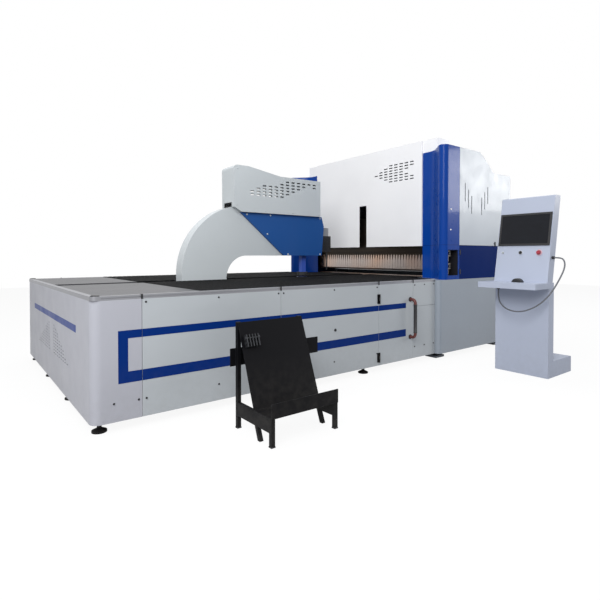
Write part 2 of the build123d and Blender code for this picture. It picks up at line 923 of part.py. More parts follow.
# Clamp pad that turns under the ram
pad_low = deck_top + pad_rest_gap
pad_high = ram_low - slide_gap
with BuildPart() as press_pad:
    with BuildSketch(Plane.XY.offset(pad_low)):
        with Locations((ram_x, 0)):
            Circle(pad_radius)
    extrude(amount=pad_high - pad_low)
    chamfer(press_pad.edges().filter_by(GeomType.CIRCLE).group_by(Axis.Z)[0], pad_edge)
    with Locations((ram_x, 0, pad_high)):
        Cylinder(spindle_radius, spindle_length, align=(Align.CENTER, Align.CENTER, Align.MIN))
press_pad.part.label = "press_pad"
export_step(press_pad.part, "parts/press_pad.step")

# Turntable in the slot, level with the deck, and its bearing housing on the jaw
table_disc_low = deck_top - turntable_thickness
with BuildPart() as turntable_housing:
    with BuildSketch(Plane.XY.offset(jaw_top)):
        with Locations((ram_x, 0)):
            Circle(housing_radius)
            Circle(turntable_shaft_radius + shaft_gap, mode=Mode.SUBTRACT)
    extrude(amount=table_disc_low - slide_gap - jaw_top)
turntable_housing.part.label = "turntable_housing"
export_step(turntable_housing.part, "parts/turntable_housing.step")

with BuildPart() as turntable:
    with Locations((ram_x, 0, deck_top)):
        Cylinder(
            turntable_radius, turntable_thickness, align=(Align.CENTER, Align.CENTER, Align.MAX)
        )
    with Locations((ram_x, 0, table_disc_low)):
        Cylinder(
            turntable_shaft_radius,
            table_disc_low - jaw_top - slide_gap,
            align=(Align.CENTER, Align.CENTER, Align.MAX),
        )
turntable.part.label = "turntable"
export_step(turntable.part, "parts/turntable.step")

# Door pan in the operator side, hung on the side of the second pan
with BuildPart() as side_door:
    side_pan(table_end + door_start, table_end + door_end - seam, ground_gap, table_height, -1)
side_door.part.label = "side_door"
export_step(side_door.part, "parts/side_door.step")

# Hinges: fixed leaves with two knuckles and a pin, and door leaves with the middle knuckle
hinge_x = table_end + door_start - seam / 2
hinge_y = -half_table - hinge_leaf - knuckle_radius - slide_gap
knuckle_length = hinge_height * knuckle_share
middle_length = hinge_height - 2 * knuckle_length - 2 * slide_gap
with BuildPart() as door_hinges:
    for height in (lower_hinge_height, upper_hinge_height):
        hinge_low = height - hinge_height / 2
        block(
            (hinge_x - hinge_leaf_width, -half_table - hinge_leaf, hinge_low),
            (hinge_x - seam / 2, -half_table, hinge_low + hinge_height),
        )
        for low in (hinge_low, hinge_low + hinge_height - knuckle_length):
            block(
                (hinge_x - knuckle_radius, hinge_y, low),
                (hinge_x - seam / 2, -half_table - hinge_leaf, low + knuckle_length),
            )
            with Locations((hinge_x, hinge_y, low)):
                Cylinder(
                    knuckle_radius, knuckle_length, align=(Align.CENTER, Align.CENTER, Align.MIN)
                )
        with Locations((hinge_x, hinge_y, hinge_low)):
            Cylinder(
                hinge_pin_radius, hinge_height, align=(Align.CENTER, Align.CENTER, Align.MIN)
            )
door_hinges.part.label = "door_hinges"
export_step(door_hinges.part, "parts/door_hinges.step")

# Door fittings: the hinges' door leaves and a bent tube handle
with BuildPart() as door_fittings:
    for height in (lower_hinge_height, upper_hinge_height):
        hinge_low = height - hinge_height / 2
        middle_low = hinge_low + knuckle_length + slide_gap
        block(
            (hinge_x + seam / 2, -half_table - hinge_leaf, hinge_low),
            (hinge_x + hinge_leaf_width, -half_table, hinge_low + hinge_height),
        )
        block(
            (hinge_x + seam / 2, hinge_y, middle_low),
            (hinge_x + knuckle_radius, -half_table - hinge_leaf, middle_low + middle_length),
        )
        with Locations((hinge_x, hinge_y, middle_low)):
            Cylinder(
                knuckle_radius, middle_length, align=(Align.CENTER, Align.CENTER, Align.MIN)
            )
            Cylinder(
                hinge_pin_radius + shaft_gap,
                middle_length,
                align=(Align.CENTER, Align.CENTER, Align.MIN),
                mode=Mode.SUBTRACT,
            )
    handle_x = table_end + door_end - seam - handle_inset
    with BuildLine() as handle_path:
        FilletPolyline(
            (handle_x, -half_table, handle_low),
            (handle_x, -half_table - handle_standoff, handle_low),
            (handle_x, -half_table - handle_standoff, handle_high),
            (handle_x, -half_table, handle_high),
            radius=handle_bend_radius,
        )
    with BuildSketch(Plane((handle_x, -half_table, handle_low), x_dir=(1, 0, 0), z_dir=(0, -1, 0))):
        RegularPolygon(handle_bar_radius, handle_bar_sides)
    sweep(path=handle_path.wires()[0])
door_fittings.part.label = "door_fittings"
export_step(door_fittings.part, "parts/door_fittings.step")

# Bender base: two sills with anchor plates, two cross members and beds for the blade carriage
bed_top = sill_height + bed_height - slide_gap
with BuildPart() as base_frame:
    mirrored(
        (bender_front + front_cross_setback, sill_inner, 0),
        (bender_rear - front_cross_setback, sill_inner + sill_width, sill_height),
    )
    block(
        (bender_front + front_cross_setback, -sill_inner, 0),
        (bender_front + front_cross_setback + front_cross_width, sill_inner, sill_height),
    )
    block((rear_cross_start, -sill_inner, 0), (rear_cross_end, sill_inner, sill_height))
    mirrored(
        (rear_cross_start, bed_inner, sill_height), (rear_cross_end, bed_inner + bed_width, bed_top)
    )
    for end in (-1, 1):
        plate_x = end * anchor_spacing_x / 2
        mirrored(
            (plate_x - anchor_plate_width / 2, sill_inner + sill_width, 0),
            (
                plate_x + anchor_plate_width / 2,
                anchor_spacing_y / 2 + anchor_plate_width / 2,
                anchor_plate,
            ),
        )
    with BuildSketch(Plane.XY.offset(-overrun)):
        with GridLocations(anchor_spacing_x, anchor_spacing_y, 2, 2):
            Circle(anchor_hole_radius)
    extrude(amount=anchor_plate + 2 * overrun, mode=Mode.SUBTRACT)
base_frame.part.label = "base_frame"
export_step(base_frame.part, "parts/base_frame.step")

# Side frames: two C plates with a round toe that carry the crown, the press beam's ways and the covers
rear_pan_front = bender_rear - pan_depth
frame_front = bender_front + frame_front_setback
frame_crest = roof_low - sheet
with BuildPart() as side_frames:
    with BuildSketch(Plane.XZ.offset(frame_half)) as frame_side:
        Polygon(
            (frame_front, sill_height),
            (rear_pan_front, sill_height),
            (rear_pan_front, frame_crest),
            (frame_front, frame_crest),
            (frame_front, frame_throat_high),
            (frame_throat_end, frame_throat_high),
            (frame_throat_end, frame_throat_low),
            (frame_front, frame_throat_low),
            align=None,
        )
        fillet(frame_side.vertices().sort_by_distance((frame_front, sill_height))[0], frame_toe_radius)
    extrude(amount=frame_thickness)
    mirror(about=Plane.XZ)
side_frames.part.label = "side_frames"
export_step(side_frames.part, "parts/side_frames.step")

# Crown beam between the side frames, over the press beam
beam_front = tool_front - beam_overhang
beam_rear = beam_front + beam_depth
with BuildPart() as crown_beam:
    block((beam_front, -frame_half, crown_low), (beam_rear, frame_half, frame_crest))
crown_beam.part.label = "crown_beam"
export_step(crown_beam.part, "parts/crown_beam.step")

# Lower beam with a narrow neck that leaves room for the lower blade
lower_front = tool_front + lower_beam_setback
with BuildPart() as lower_beam:
    with BuildSketch(Plane.XZ):
        Polygon(
            (lower_front, sill_height),
            (lower_front + lower_beam_depth, sill_height),
            (lower_front + lower_beam_depth, lower_beam_shoulder),
            (lower_front + lower_beam_neck, lower_beam_shoulder),
            (lower_front + lower_beam_neck, table_height),
            (lower_front, table_height),
            align=None,
        )
    extrude(amount=frame_half, both=True)
lower_beam.part.label = "lower_beam"
export_step(lower_beam.part, "parts/lower_beam.step")

# Lower tool: one ground bar on the lower beam, with its bending edge at the back
with BuildPart() as lower_tool:
    block(
        (tool_front, -tool_half, table_height),
        (tool_front + lower_tool_depth, tool_half, table_height + lower_tool_height),
    )
    front_edge = lower_tool.edges().filter_by(Axis.Y).group_by(Axis.Z)[-1].sort_by(Axis.X)[0]
    chamfer(front_edge, lower_tool_edge)
lower_tool.part.label = "lower_tool"
export_step(lower_tool.part, "parts/lower_tool.step")

# Press beam that slides between the side frames, with the two lift rods on its top
with BuildPart() as upper_beam:
    with BuildSketch(Plane.XZ):
        Polygon(
            (beam_front, beam_low),
            (beam_front + beam_nose_depth, beam_low),
            (beam_front + beam_nose_depth, beam_nose_high),
            (beam_rear, beam_shoulder),
            (beam_rear, beam_high),
            (beam_front, beam_high),
            align=None,
        )
    extrude(amount=frame_half - slide_gap, both=True)
    beam_middle = beam_front + beam_depth / 2
    with Locations((beam_middle, -cylinder_y, beam_high), (beam_middle, cylinder_y, beam_high)):
        Cylinder(
            lift_rod_radius, lift_rod_high - beam_high, align=(Align.CENTER, Align.CENTER, Align.MIN)
        )
upper_beam.part.label = "upper_beam"
export_step(upper_beam.part, "parts/upper_beam.step")

# Lift cylinders under the crown
with BuildPart() as lift_cylinders:
    with BuildSketch(Plane.XY.offset(cylinder_low)):
        with Locations((beam_middle, -cylinder_y), (beam_middle, cylinder_y)):
            Circle(cylinder_radius)
            Circle(lift_rod_radius + shaft_gap, mode=Mode.SUBTRACT)
    extrude(amount=crown_low - cylinder_low)
lift_cylinders.part.label = "lift_cylinders"
export_step(lift_cylinders.part, "parts/lift_cylinders.step")

# Tool strip under the press beam
with BuildPart() as tool_strip:
    block(
        (tool_front + tang_depth, -tool_half, tool_high),
        (tool_front + tang_depth + strip_depth, tool_half, beam_low),
    )
tool_strip.part.label = "tool_strip"
export_step(tool_strip.part, "parts/tool_strip.step")

# Upper tools: a row of segments, each a nosed body with a tapered tang in front of the strip
tool_pitch = 2 * tool_half / tool_count
tool_width = tool_pitch - tool_gap
with BuildPart() as upper_tools:
    with BuildSketch(Plane.YZ.offset(tool_front)):
        with GridLocations(tool_pitch, 0, tool_count, 1):
            Polygon(
                (-tool_width / 2, tool_low),
                (tool_width / 2, tool_low),
                (tool_width / 2, tool_high),
                (tang_width / 2, tang_high),
                (-tang_width / 2, tang_high),
                (-tool_width / 2, tool_high),
                align=None,
            )
    extrude(amount=tang_depth)
    with BuildSketch(Plane.YZ.offset(tool_front + tang_depth)):
        with Locations((0, (tool_low + tool_high) / 2)):
            with GridLocations(tool_pitch, 0, tool_count, 1):
                Rectangle(tool_width, tool_high - tool_low)
    extrude(amount=tool_depth - tang_depth)
    nose_edges = upper_tools.edges().filter_by(Axis.Y).group_by(Axis.Z)[0].group_by(Axis.X)[0]
    chamfer(nose_edges, tool_nose, tool_nose * 2 / 3)
upper_tools.part.label = "upper_tools"
export_step(upper_tools.part, "parts/upper_tools.step")

# Blade carriage on its beds, with two guide posts for the blade frame
blade_back_end = blade_back_start + blade_back_depth
guide_post_x = blade_back_end + slide_gap
carriage_low = sill_height + bed_height
carriage_high = carriage_low + carriage_beam_height
with BuildPart() as blade_carriage:
    block(
        (guide_post_x, -blade_half, carriage_low),
        (guide_post_x + carriage_beam_depth, blade_half, carriage_high),
    )
    mirrored(
        (guide_post_x, guide_post_y - guide_post_width / 2, carriage_high),
        (guide_post_x + guide_post_depth, guide_post_y + guide_post_width / 2, guide_post_high),
    )
blade_carriage.part.label = "blade_carriage"
export_step(blade_carriage.part, "parts/blade_carriage.step")

# Blade frame: a C beam open towards the tools
with BuildPart() as blade_frame:
    with BuildSketch(Plane.XZ):
        Polygon(
            (blade_back_start, blade_frame_low),
            (blade_back_end, blade_frame_low),
            (blade_back_end, blade_frame_high),
            (blade_back_start, blade_frame_high),
            (blade_back_start, upper_jaw_high),
            (blade_jaw_start, upper_jaw_high),
            (blade_jaw_start, upper_jaw_low),
            (blade_back_start, upper_jaw_low),
            (blade_back_start, lower_jaw_high),
            (blade_jaw_start, lower_jaw_high),
            (blade_jaw_start, lower_jaw_low),
            (blade_back_start, lower_jaw_low),
            align=None,
        )
    extrude(amount=blade_half, both=True)
blade_frame.part.label = "blade_frame"
export_step(blade_frame.part, "parts/blade_frame.step")

# Bending blades: one points down at the bend line and one points up
blade_tip_x = blade_jaw_start - blade_reach
with BuildPart() as bend_blades:
    with BuildSketch(Plane.XZ):
        Polygon(
            (blade_jaw_start, upper_jaw_low),
            (blade_jaw_start, upper_jaw_low + blade_root),
            (blade_tip_x, upper_blade_tip_low + blade_edge),
            (blade_tip_x, upper_blade_tip_low),
            (blade_tip_x + blade_tip, upper_blade_tip_low),
            align=None,
        )
        Polygon(
            (blade_jaw_start, lower_jaw_high),
            (blade_tip_x + blade_tip, lower_blade_tip_high),
            (blade_tip_x, lower_blade_tip_high),
            (blade_tip_x, lower_blade_tip_high - blade_edge),
            (blade_jaw_start, lower_jaw_high - blade_root),
            align=None,
        )
    extrude(amount=tool_half - overrun, both=True)
bend_blades.part.label = "bend_blades"
export_step(bend_blades.part, "parts/bend_blades.step")

# Front cover: a stepped sheet box over the press beam, with a slot for the clamp arm's nose and vents
cover_x = bender_front + cover_setback
cover_flange_x = cover_x + cover_step
cover_rear = cover_flange_x + cover_box_depth
with BuildPart() as front_cover:
    with BuildSketch(Plane.XY.offset(cover_low)):
        Polygon(
            (cover_rear, -cover_half),
            (cover_flange_x, -cover_half),
            (cover_flange_x, -cover_main_half),
            (cover_x, -cover_main_half),
            (cover_x, cover_main_half),
            (cover_flange_x, cover_main_half),
            (cover_flange_x, cover_half),
            (cover_rear, cover_half),
            align=None,
        )
    extrude(amount=cover_high - cover_low)
    with BuildSketch(Plane.XY.offset(cover_low - overrun)):
        Polygon(
            (cover_rear + overrun, -cover_half + sheet),
            (cover_flange_x + sheet, -cover_half + sheet),
            (cover_flange_x + sheet, -cover_main_half + sheet),
            (cover_x + sheet, -cover_main_half + sheet),
            (cover_x + sheet, cover_main_half - sheet),
            (cover_flange_x + sheet, cover_main_half - sheet),
            (cover_flange_x + sheet, cover_half - sheet),
            (cover_rear + overrun, cover_half - sheet),
            align=None,
        )
    extrude(amount=cover_high - cover_low + overrun - sheet, mode=Mode.SUBTRACT)
    block(
        (cover_x - overrun, -cover_slot_width / 2, cover_low - overrun),
        (cover_x + cover_step, cover_slot_width / 2, cover_slot_high),
        mode=Mode.SUBTRACT,
    )
    with BuildSketch(Plane.YZ.offset(cover_x - overrun)):
        for column in range(cover_vent_columns):
            slot_y = -cover_vent_start_y - column * cover_vent_pitch
            notch = column - (cover_vent_columns - cover_vent_rows)
            for row in range(-cover_vent_rows, cover_vent_rows + 1):
                if notch <= abs(row) <= column:
                    with Locations((slot_y, cover_vent_z + row * cover_vent_row_pitch)):
                        Rectangle(cover_vent_length, cover_vent_height)
    extrude(amount=cover_step + overrun, mode=Mode.SUBTRACT)
front_cover.part.label = "front_cover"
export_step(front_cover.part, "parts/front_cover.step")

# Corner columns: sheet folded in an ogee round the bender's front corners, capped on top
column_rear = bender_front + column_rear_setback
nose_x = bender_front + nose_setback
column_flat_x = cover_flange_x - sheet
column_points = (
    (column_rear, -half_bender),
    (nose_x, -half_bender),
    (column_flat_x, -column_bend_y),
    (column_flat_x, -cover_main_half - seam),
)
pocket_x = bender_front + pocket_start
with BuildPart() as corner_columns:
    with BuildSketch(Plane.XY.offset(base_cover_high)):
        with BuildLine():
            FilletPolyline(*column_points, radius=[nose_radius, column_bend_radius])
            offset(amount=sheet, side=Side.RIGHT)
        make_face()
    extrude(amount=column_high - base_cover_high)
    with BuildSketch(Plane.XY.offset(column_high - sheet)):
        with BuildLine():
            FilletPolyline(*column_points, radius=[nose_radius, column_bend_radius])
            Polyline(
                column_points[-1],
                (cover_flange_x - seam, -cover_main_half - seam),
                (cover_flange_x - seam, -cover_half - seam),
                (column_rear, -cover_half - seam),
                column_points[0],
            )
        make_face()
    extrude(amount=sheet)
    mirror(about=Plane.XZ)
    block(
        (pocket_x, -half_bender, pocket_low),
        (pocket_x + pocket_length, -half_bender + pocket_depth, pocket_high),
    )
    block(
        (pocket_x + sheet, -half_bender - overrun, pocket_low + sheet),
        (pocket_x + pocket_length - sheet, -half_bender + pocket_depth - sheet, pocket_high - sheet),
        mode=Mode.SUBTRACT,
    )
corner_columns.part.label = "corner_columns"
export_step(corner_columns.part, "parts/corner_columns.step")

# Air units on the pocket's back: two regulator bodies, each with a bowl below
with BuildPart() as air_units:
    air_x = pocket_x + pocket_length / 2
    air_back_y = -half_bender + pocket_depth - sheet
    for unit in range(2):
        unit_low = air_low_z + unit * air_pitch_z
        block(
            (air_x - air_body_width / 2, air_back_y - air_body_depth, unit_low + air_bowl_length),
            (air_x + air_body_width / 2, air_back_y, unit_low + air_bowl_length + air_body_height),
        )
        with Locations((air_x, air_back_y - air_body_depth / 2, unit_low)):
            Cylinder(
                air_bowl_radius, air_bowl_length, align=(Align.CENTER, Align.CENTER, Align.MIN)
            )
air_units.part.label = "air_units"
export_step(air_units.part, "parts/air_units.step")

# Lower side covers: one sheet each side, folded round the front corner, with a ledge before the column
with BuildPart() as base_panels:
    with BuildSketch(Plane.XY.offset(ground_gap)):
        with BuildLine():
            FilletPolyline(
                (bender_front, -half_table + sheet),
                (bender_front, -half_bender),
                (bender_rear, -half_bender),
                radius=base_corner_radius,
            )
            offset(amount=sheet, side=Side.LEFT)
        make_face()
    extrude(amount=base_cover_high - ground_gap)
    block(
        (bender_front + base_corner_radius, -half_bender + sheet, base_cover_high - sheet),
        (column_rear, -half_bender + base_corner_radius, base_cover_high),
    )
    block(
        (bender_front + sheet, -half_bender + base_corner_radius, base_cover_high - sheet),
        (column_rear, -infeed_half, base_cover_high),
    )
    mirror(about=Plane.XZ)
base_panels.part.label = "base_panels"
export_step(base_panels.part, "parts/base_panels.step")

# Coloured side bands between the lower covers and the upper side panels
with BuildPart() as side_bands:
    mirrored(
        (column_rear + seam, half_bender - sheet, base_cover_high),
        (bender_rear, half_bender, band_high - seam),
    )
side_bands.part.label = "side_bands"
export_step(side_bands.part, "parts/side_bands.step")

# Upper side panels with a dropping crest and two stepped groups of slots
with BuildPart() as side_panels:
    with BuildSketch(Plane.XZ.offset(half_bender - sheet)):
        with BuildLine():
            Polyline(
                (roof_drop_start, column_high),
                (column_rear + seam, column_high),
                (column_rear + seam, band_high),
                (bender_rear, band_high),
                (bender_rear, roof_low),
                (roof_drop_end, roof_low),
            )
            ThreePointArc(
                (roof_drop_end, roof_low),
                (roof_drop_mid, roof_mid_high),
                (roof_drop_start, column_high),
            )
        make_face()
        for step in range(3):
            slot_z = side_slot_low_z + step * side_slot_step
            slot_shift = side_slot_inner + step * side_slot_pitch
            with Locations(
                (side_slot_centre_x - slot_shift, slot_z), (side_slot_centre_x + slot_shift, slot_z)
            ):
                Rectangle(side_slot_width, side_slot_height, mode=Mode.SUBTRACT)
    extrude(amount=sheet)
    mirror(about=Plane.XZ)
side_panels.part.label = "side_panels"
export_step(side_panels.part, "parts/side_panels.step")

# Roof sheet between the side panels, cut out round the front cover
with BuildPart() as roof_cover:
    with BuildSketch(Plane.XZ):
        with BuildLine():
            Line((column_rear + seam, column_high - sheet), (column_rear + seam, column_high))
            Line((column_rear + seam, column_high), (roof_drop_start, column_high))
            ThreePointArc(
                (roof_drop_start, column_high),
                (roof_drop_mid, roof_mid_high),
                (roof_drop_end, roof_low),
            )
            Line((roof_drop_end, roof_low), (bender_rear, roof_low))
            Line((bender_rear, roof_low), (bender_rear, roof_low - sheet))
            Line((bender_rear, roof_low - sheet), (roof_drop_end, roof_low - sheet))
            ThreePointArc(
                (roof_drop_end, roof_low - sheet),
                (roof_drop_mid, roof_mid_high - sheet),
                (roof_drop_start, column_high - sheet),
            )
            Line((roof_drop_start, column_high - sheet), (column_rear + seam, column_high - sheet))
        make_face()
    extrude(amount=half_bender - sheet, both=True)
    block(
        (cover_x, -cover_half, roof_low),
        (cover_rear, cover_half, column_high + overrun),
        mode=Mode.SUBTRACT,
    )
roof_cover.part.label = "roof_cover"
export_step(roof_cover.part, "parts/roof_cover.step")

# Rear covers: three pans across the back
rear_pan_count = 3
rear_width = bender_width - 2 * sheet
rear_pitch = rear_width / rear_pan_count
with BuildPart() as rear_covers:
    for number in range(rear_pan_count):
        left = -rear_width / 2 + number * rear_pitch
        right = left + rear_pitch - seam * (number < rear_pan_count - 1)
        block((rear_pan_front, left, ground_gap), (bender_rear, right, frame_crest))
        block(
            (rear_pan_front - overrun, left + sheet, ground_gap + sheet),
            (bender_rear - sheet, right - sheet, frame_crest - sheet),
            mode=Mode.SUBTRACT,
        )
rear_covers.part.label = "rear_covers"
export_step(rear_covers.part, "parts/rear_covers.step")

# Console foot and column
with BuildPart() as console_stand:
    block(
        (console_x, console_y - console_width / 2, 0),
        (console_x + console_base_depth, console_y + console_width / 2, console_base_height),
    )
    fillet(console_stand.edges().filter_by(Axis.Y).group_by(Axis.Z)[-1].sort_by(Axis.X)[-1], console_edge)
    block(
        (console_x, console_y - console_width / 2, console_base_height),
        (console_x + column_depth, console_y + console_width / 2, shelf_top),
    )
console_stand.part.label = "console_stand"
export_step(console_stand.part, "parts/console_stand.step")

# Shelf in front of the column
with BuildPart() as console_shelf:
    block(
        (console_x - shelf_depth, console_y - shelf_width / 2, shelf_top - shelf_thickness),
        (console_x, console_y + shelf_width / 2, shelf_top),
    )
    fillet(console_shelf.edges().filter_by(Axis.Z).group_by(Axis.X)[0], console_edge)
console_shelf.part.label = "console_shelf"
export_step(console_shelf.part, "parts/console_shelf.step")

# Slanted head, with bores for the controls in its front face
head_front_x = console_x - head_overhang
head_rise = head_high - shelf_top
head_angle = math.atan2(head_lean, head_rise)
head_face = Plane(
    origin=(head_front_x, console_y, shelf_top),
    x_dir=(0, -1, 0),
    z_dir=(-math.cos(head_angle), 0, math.sin(head_angle)),
)
with BuildPart() as console_head:
    with BuildSketch(Plane.XZ.offset(-console_y)):
        Polygon(
            (head_front_x, shelf_top),
            (head_front_x + head_lean, head_high),
            (head_front_x + head_lean + head_depth, head_high),
            (head_front_x + head_depth, shelf_top),
            align=None,
        )
    extrude(amount=console_width / 2, both=True)
    fillet(console_head.edges().filter_by(Axis.Y).group_by(Axis.Z)[-1], head_edge)
    with BuildSketch(head_face):
        with Locations((estop_side, control_height)):
            Circle(estop_stem_radius + shaft_gap)
        with Locations((knob_side, control_height)):
            Circle(knob_stem_radius + shaft_gap)
    extrude(amount=-(estop_stem + overrun), mode=Mode.SUBTRACT)
console_head.part.label = "console_head"
export_step(console_head.part, "parts/console_head.step")

# Screen: a raised frame round its sunk glass, on the head's face
with BuildPart() as monitor:
    with BuildSketch(head_face):
        with Locations((0, screen_centre)):
            Rectangle(screen_width, screen_height)
            Rectangle(
                screen_width - 2 * screen_frame, screen_height - 2 * screen_frame, mode=Mode.SUBTRACT
            )
    extrude(amount=screen_depth)
    with BuildSketch(head_face):
        with Locations((0, screen_centre)):
            Rectangle(screen_width - 2 * screen_frame, screen_height - 2 * screen_frame)
    extrude(amount=glass_depth)
monitor.part.label = "monitor"
export_step(monitor.part, "parts/monitor.step")

# Mushroom stop button with its stem in the head
with BuildPart() as estop_button:
    with BuildSketch(head_face.offset(estop_lift)):
        with Locations((estop_side, control_height)):
            Circle(estop_radius)
    extrude(amount=estop_head)
    chamfer(estop_button.edges().filter_by(GeomType.CIRCLE).sort_by(Axis.X)[0], estop_dome)
    with BuildSketch(head_face.offset(estop_lift)):
        with Locations((estop_side, control_height)):
            Circle(estop_stem_radius)
    extrude(amount=-estop_stem)
estop_button.part.label = "estop_button"
export_step(estop_button.part, "parts/estop_button.step")

# Selector knob: a round base with a grip bar
with BuildPart() as selector_knob:
    with BuildSketch(head_face.offset(slide_gap)):
        with Locations((knob_side, control_height)):
            Circle(knob_radius)
    extrude(amount=knob_height / 2)
    with BuildSketch(head_face.offset(slide_gap + knob_height / 2)):
        with Locations((knob_side, control_height)):
            SlotOverall(knob_grip_length, knob_grip, rotation=90)
    extrude(amount=knob_height / 2)
    with BuildSketch(head_face.offset(slide_gap)):
        with Locations((knob_side, control_height)):
            Circle(knob_stem_radius)
    extrude(amount=-knob_stem)
selector_knob.part.label = "selector_knob"
export_step(selector_knob.part, "parts/selector_knob.step")

# Pilot lamp
with BuildPart() as pilot_lamp:
    with BuildSketch(head_face):
        with Locations((lamp_side, control_height)):
            Circle(lamp_radius)
    extrude(amount=lamp_height)
    chamfer(pilot_lamp.edges().filter_by(GeomType.CIRCLE).sort_by(Axis.X)[0], lamp_height / 3)
pilot_lamp.part.label = "pilot_lamp"
export_step(pilot_lamp.part, "parts/pilot_lamp.step")

# Mouse on the shelf: an arched body with bevelled sides
mouse_x = console_x - mouse_front
mouse_y = console_y + mouse_side
with BuildPart() as mouse:
    with BuildSketch(Plane.YZ.offset(mouse_x - mouse_width / 2)):
        with BuildLine():
            mouse_base = Line(
                (mouse_y - mouse_length / 2, shelf_top), (mouse_y + mouse_length / 2, shelf_top)
            )
            ThreePointArc(mouse_base @ 1, (mouse_y, shelf_top + mouse_height), mouse_base @ 0)
        make_face()
    extrude(amount=mouse_width)
    chamfer(mouse.edges().filter_by(GeomType.CIRCLE), mouse_edge)
mouse.part.label = "mouse"
export_step(mouse.part, "parts/mouse.step")

# Cable glands at both ends of the cable
with BuildPart() as cable_glands:
    gland_face_y = console_y - console_width / 2
    gland_plane = Plane(
        (cable_route[0][0], gland_face_y, cable_route[0][2]), x_dir=(1, 0, 0), z_dir=(0, -1, 0)
    )
    with BuildSketch(gland_plane):
        Circle(gland_radius)
    extrude(amount=gland_face_y - cable_route[0][1])
    with BuildSketch(Plane((cable_route[-1][0], cable_route[-1][1], cable_route[-1][2]))):
        Circle(gland_radius)
    extrude(amount=shelf_top - shelf_thickness - cable_route[-1][2])
cable_glands.part.label = "cable_glands"
export_step(cable_glands.part, "parts/cable_glands.step")

# Hanging cable: straight runs joined by arcs as large as the runs allow
route = [Vector(*point) for point in cable_route]
cable_radii = []
for before, corner, after in zip(route, route[1:], route[2:]):
    turn = math.radians((corner - before).get_angle(after - corner))
    shorter = min((corner - before).length, (after - corner).length)
    cable_radii.append(cable_run_share * shorter / math.tan(turn / 2))
with BuildPart() as console_cable:
    with BuildLine() as cable_path:
        FilletPolyline(*route, radius=cable_radii)
    with BuildSketch(Plane(route[0], z_dir=route[1] - route[0])):
        RegularPolygon(cable_radius, cable_sides)
    sweep(path=cable_path.wires()[0])
print("cable length", round(cable_path.wires()[0].length))
console_cable.part.label = "console_cable"
export_step(console_cable.part, "parts/console_cable.step")

# Part stand frame: rear posts, slanted legs, front legs, side rails and a cross bar behind
stand_left = table_end + stand_x
stand_right = stand_left + stand_width
stand_back_y = -half_table - stand_gap
stand_front_y = stand_back_y - stand_depth
slope_run = stand_slope / (stand_height - stand_tray_height)
with BuildPart() as stand_frame:
    for left in (stand_left, stand_right - stand_tube):
        block(
            (left, stand_back_y - stand_tube / 2, 0),
            (left + stand_tube, stand_back_y + stand_tube / 2, stand_height),
        )
        block(
            (left, stand_front_y, 0),
            (left + stand_tube, stand_front_y + stand_tube, stand_tray_height),
        )
        block(
            (left, stand_front_y + stand_tube, stand_tray_height - stand_rail_height),
            (left + stand_tube, stand_back_y - stand_tube / 2, stand_tray_height),
        )
        slant_foot_y = stand_back_y - stand_slope - stand_tray_height * slope_run
        with BuildSketch(Plane.YZ.offset(left)):
            Polygon(
                (slant_foot_y, 0),
                (slant_foot_y + stand_tube, 0),
                (stand_back_y - stand_slope + stand_tube, stand_tray_height),
                (stand_back_y - stand_slope, stand_tray_height),
                align=None,
            )
        extrude(amount=stand_tube)
    block(
        (stand_left - stand_bar_start, stand_back_y + stand_tube / 2, stand_bar_low),
        (
            stand_right + stand_bar_overhang,
            stand_back_y + stand_tube / 2 + stand_bar_thickness,
            stand_bar_low + stand_bar_height,
        ),
    )
stand_frame.part.label = "stand_frame"
export_step(stand_frame.part, "parts/stand_frame.step")

# Stand sheet: one plate folded into a slanted back, a tray and a lip
tray_front_y = stand_back_y - stand_slope - stand_tray_depth
with BuildPart() as stand_sheet:
    with BuildSketch(Plane.YZ.offset(stand_left)):
        with BuildLine():
            Polyline(
                (stand_back_y - stand_tube / 2 - stand_plate, stand_height),
                (stand_back_y - stand_slope, stand_tray_height + stand_plate),
                (tray_front_y, stand_tray_height + stand_plate),
                (tray_front_y, stand_tray_height + stand_lip_height),
            )
            offset(amount=stand_plate, side=Side.LEFT)
        make_face()
    extrude(amount=stand_width)
stand_sheet.part.label = "stand_sheet"
export_step(stand_sheet.part, "parts/stand_sheet.step")

# Clamp block on the stand's back: a base plate with upright ribs
sheet_top_y = stand_back_y - stand_tube / 2 - stand_plate
sheet_fall = stand_height - stand_tray_height - stand_plate
sheet_run = sheet_top_y - stand_back_y + stand_slope
clamp_y = sheet_top_y - (stand_height - clamp_height) * sheet_run / sheet_fall
clamp_face = Plane(
    (stand_left + clamp_side, clamp_y, clamp_height), x_dir=(1, 0, 0), z_dir=(0, -sheet_fall, sheet_run)
)
with BuildPart() as clamp_block:
    with BuildSketch(clamp_face):
        Rectangle(clamp_body, clamp_size)
    extrude(amount=clamp_flange)
    with BuildSketch(clamp_face.offset(clamp_flange)):
        with GridLocations((clamp_body - clamp_rib) / (clamp_rib_count - 1), 0, clamp_rib_count, 1):
            Rectangle(clamp_rib, clamp_size)
    extrude(amount=clamp_rib_height)
clamp_block.part.label = "clamp_block"
export_step(clamp_block.part, "parts/clamp_block.step")
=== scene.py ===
"""Automatic bending machine: camera, cable, finishes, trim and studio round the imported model."""

import logging
import math
from dataclasses import dataclass, field
from enum import Enum

import bmesh
import bpy
from mathutils import Matrix, Vector


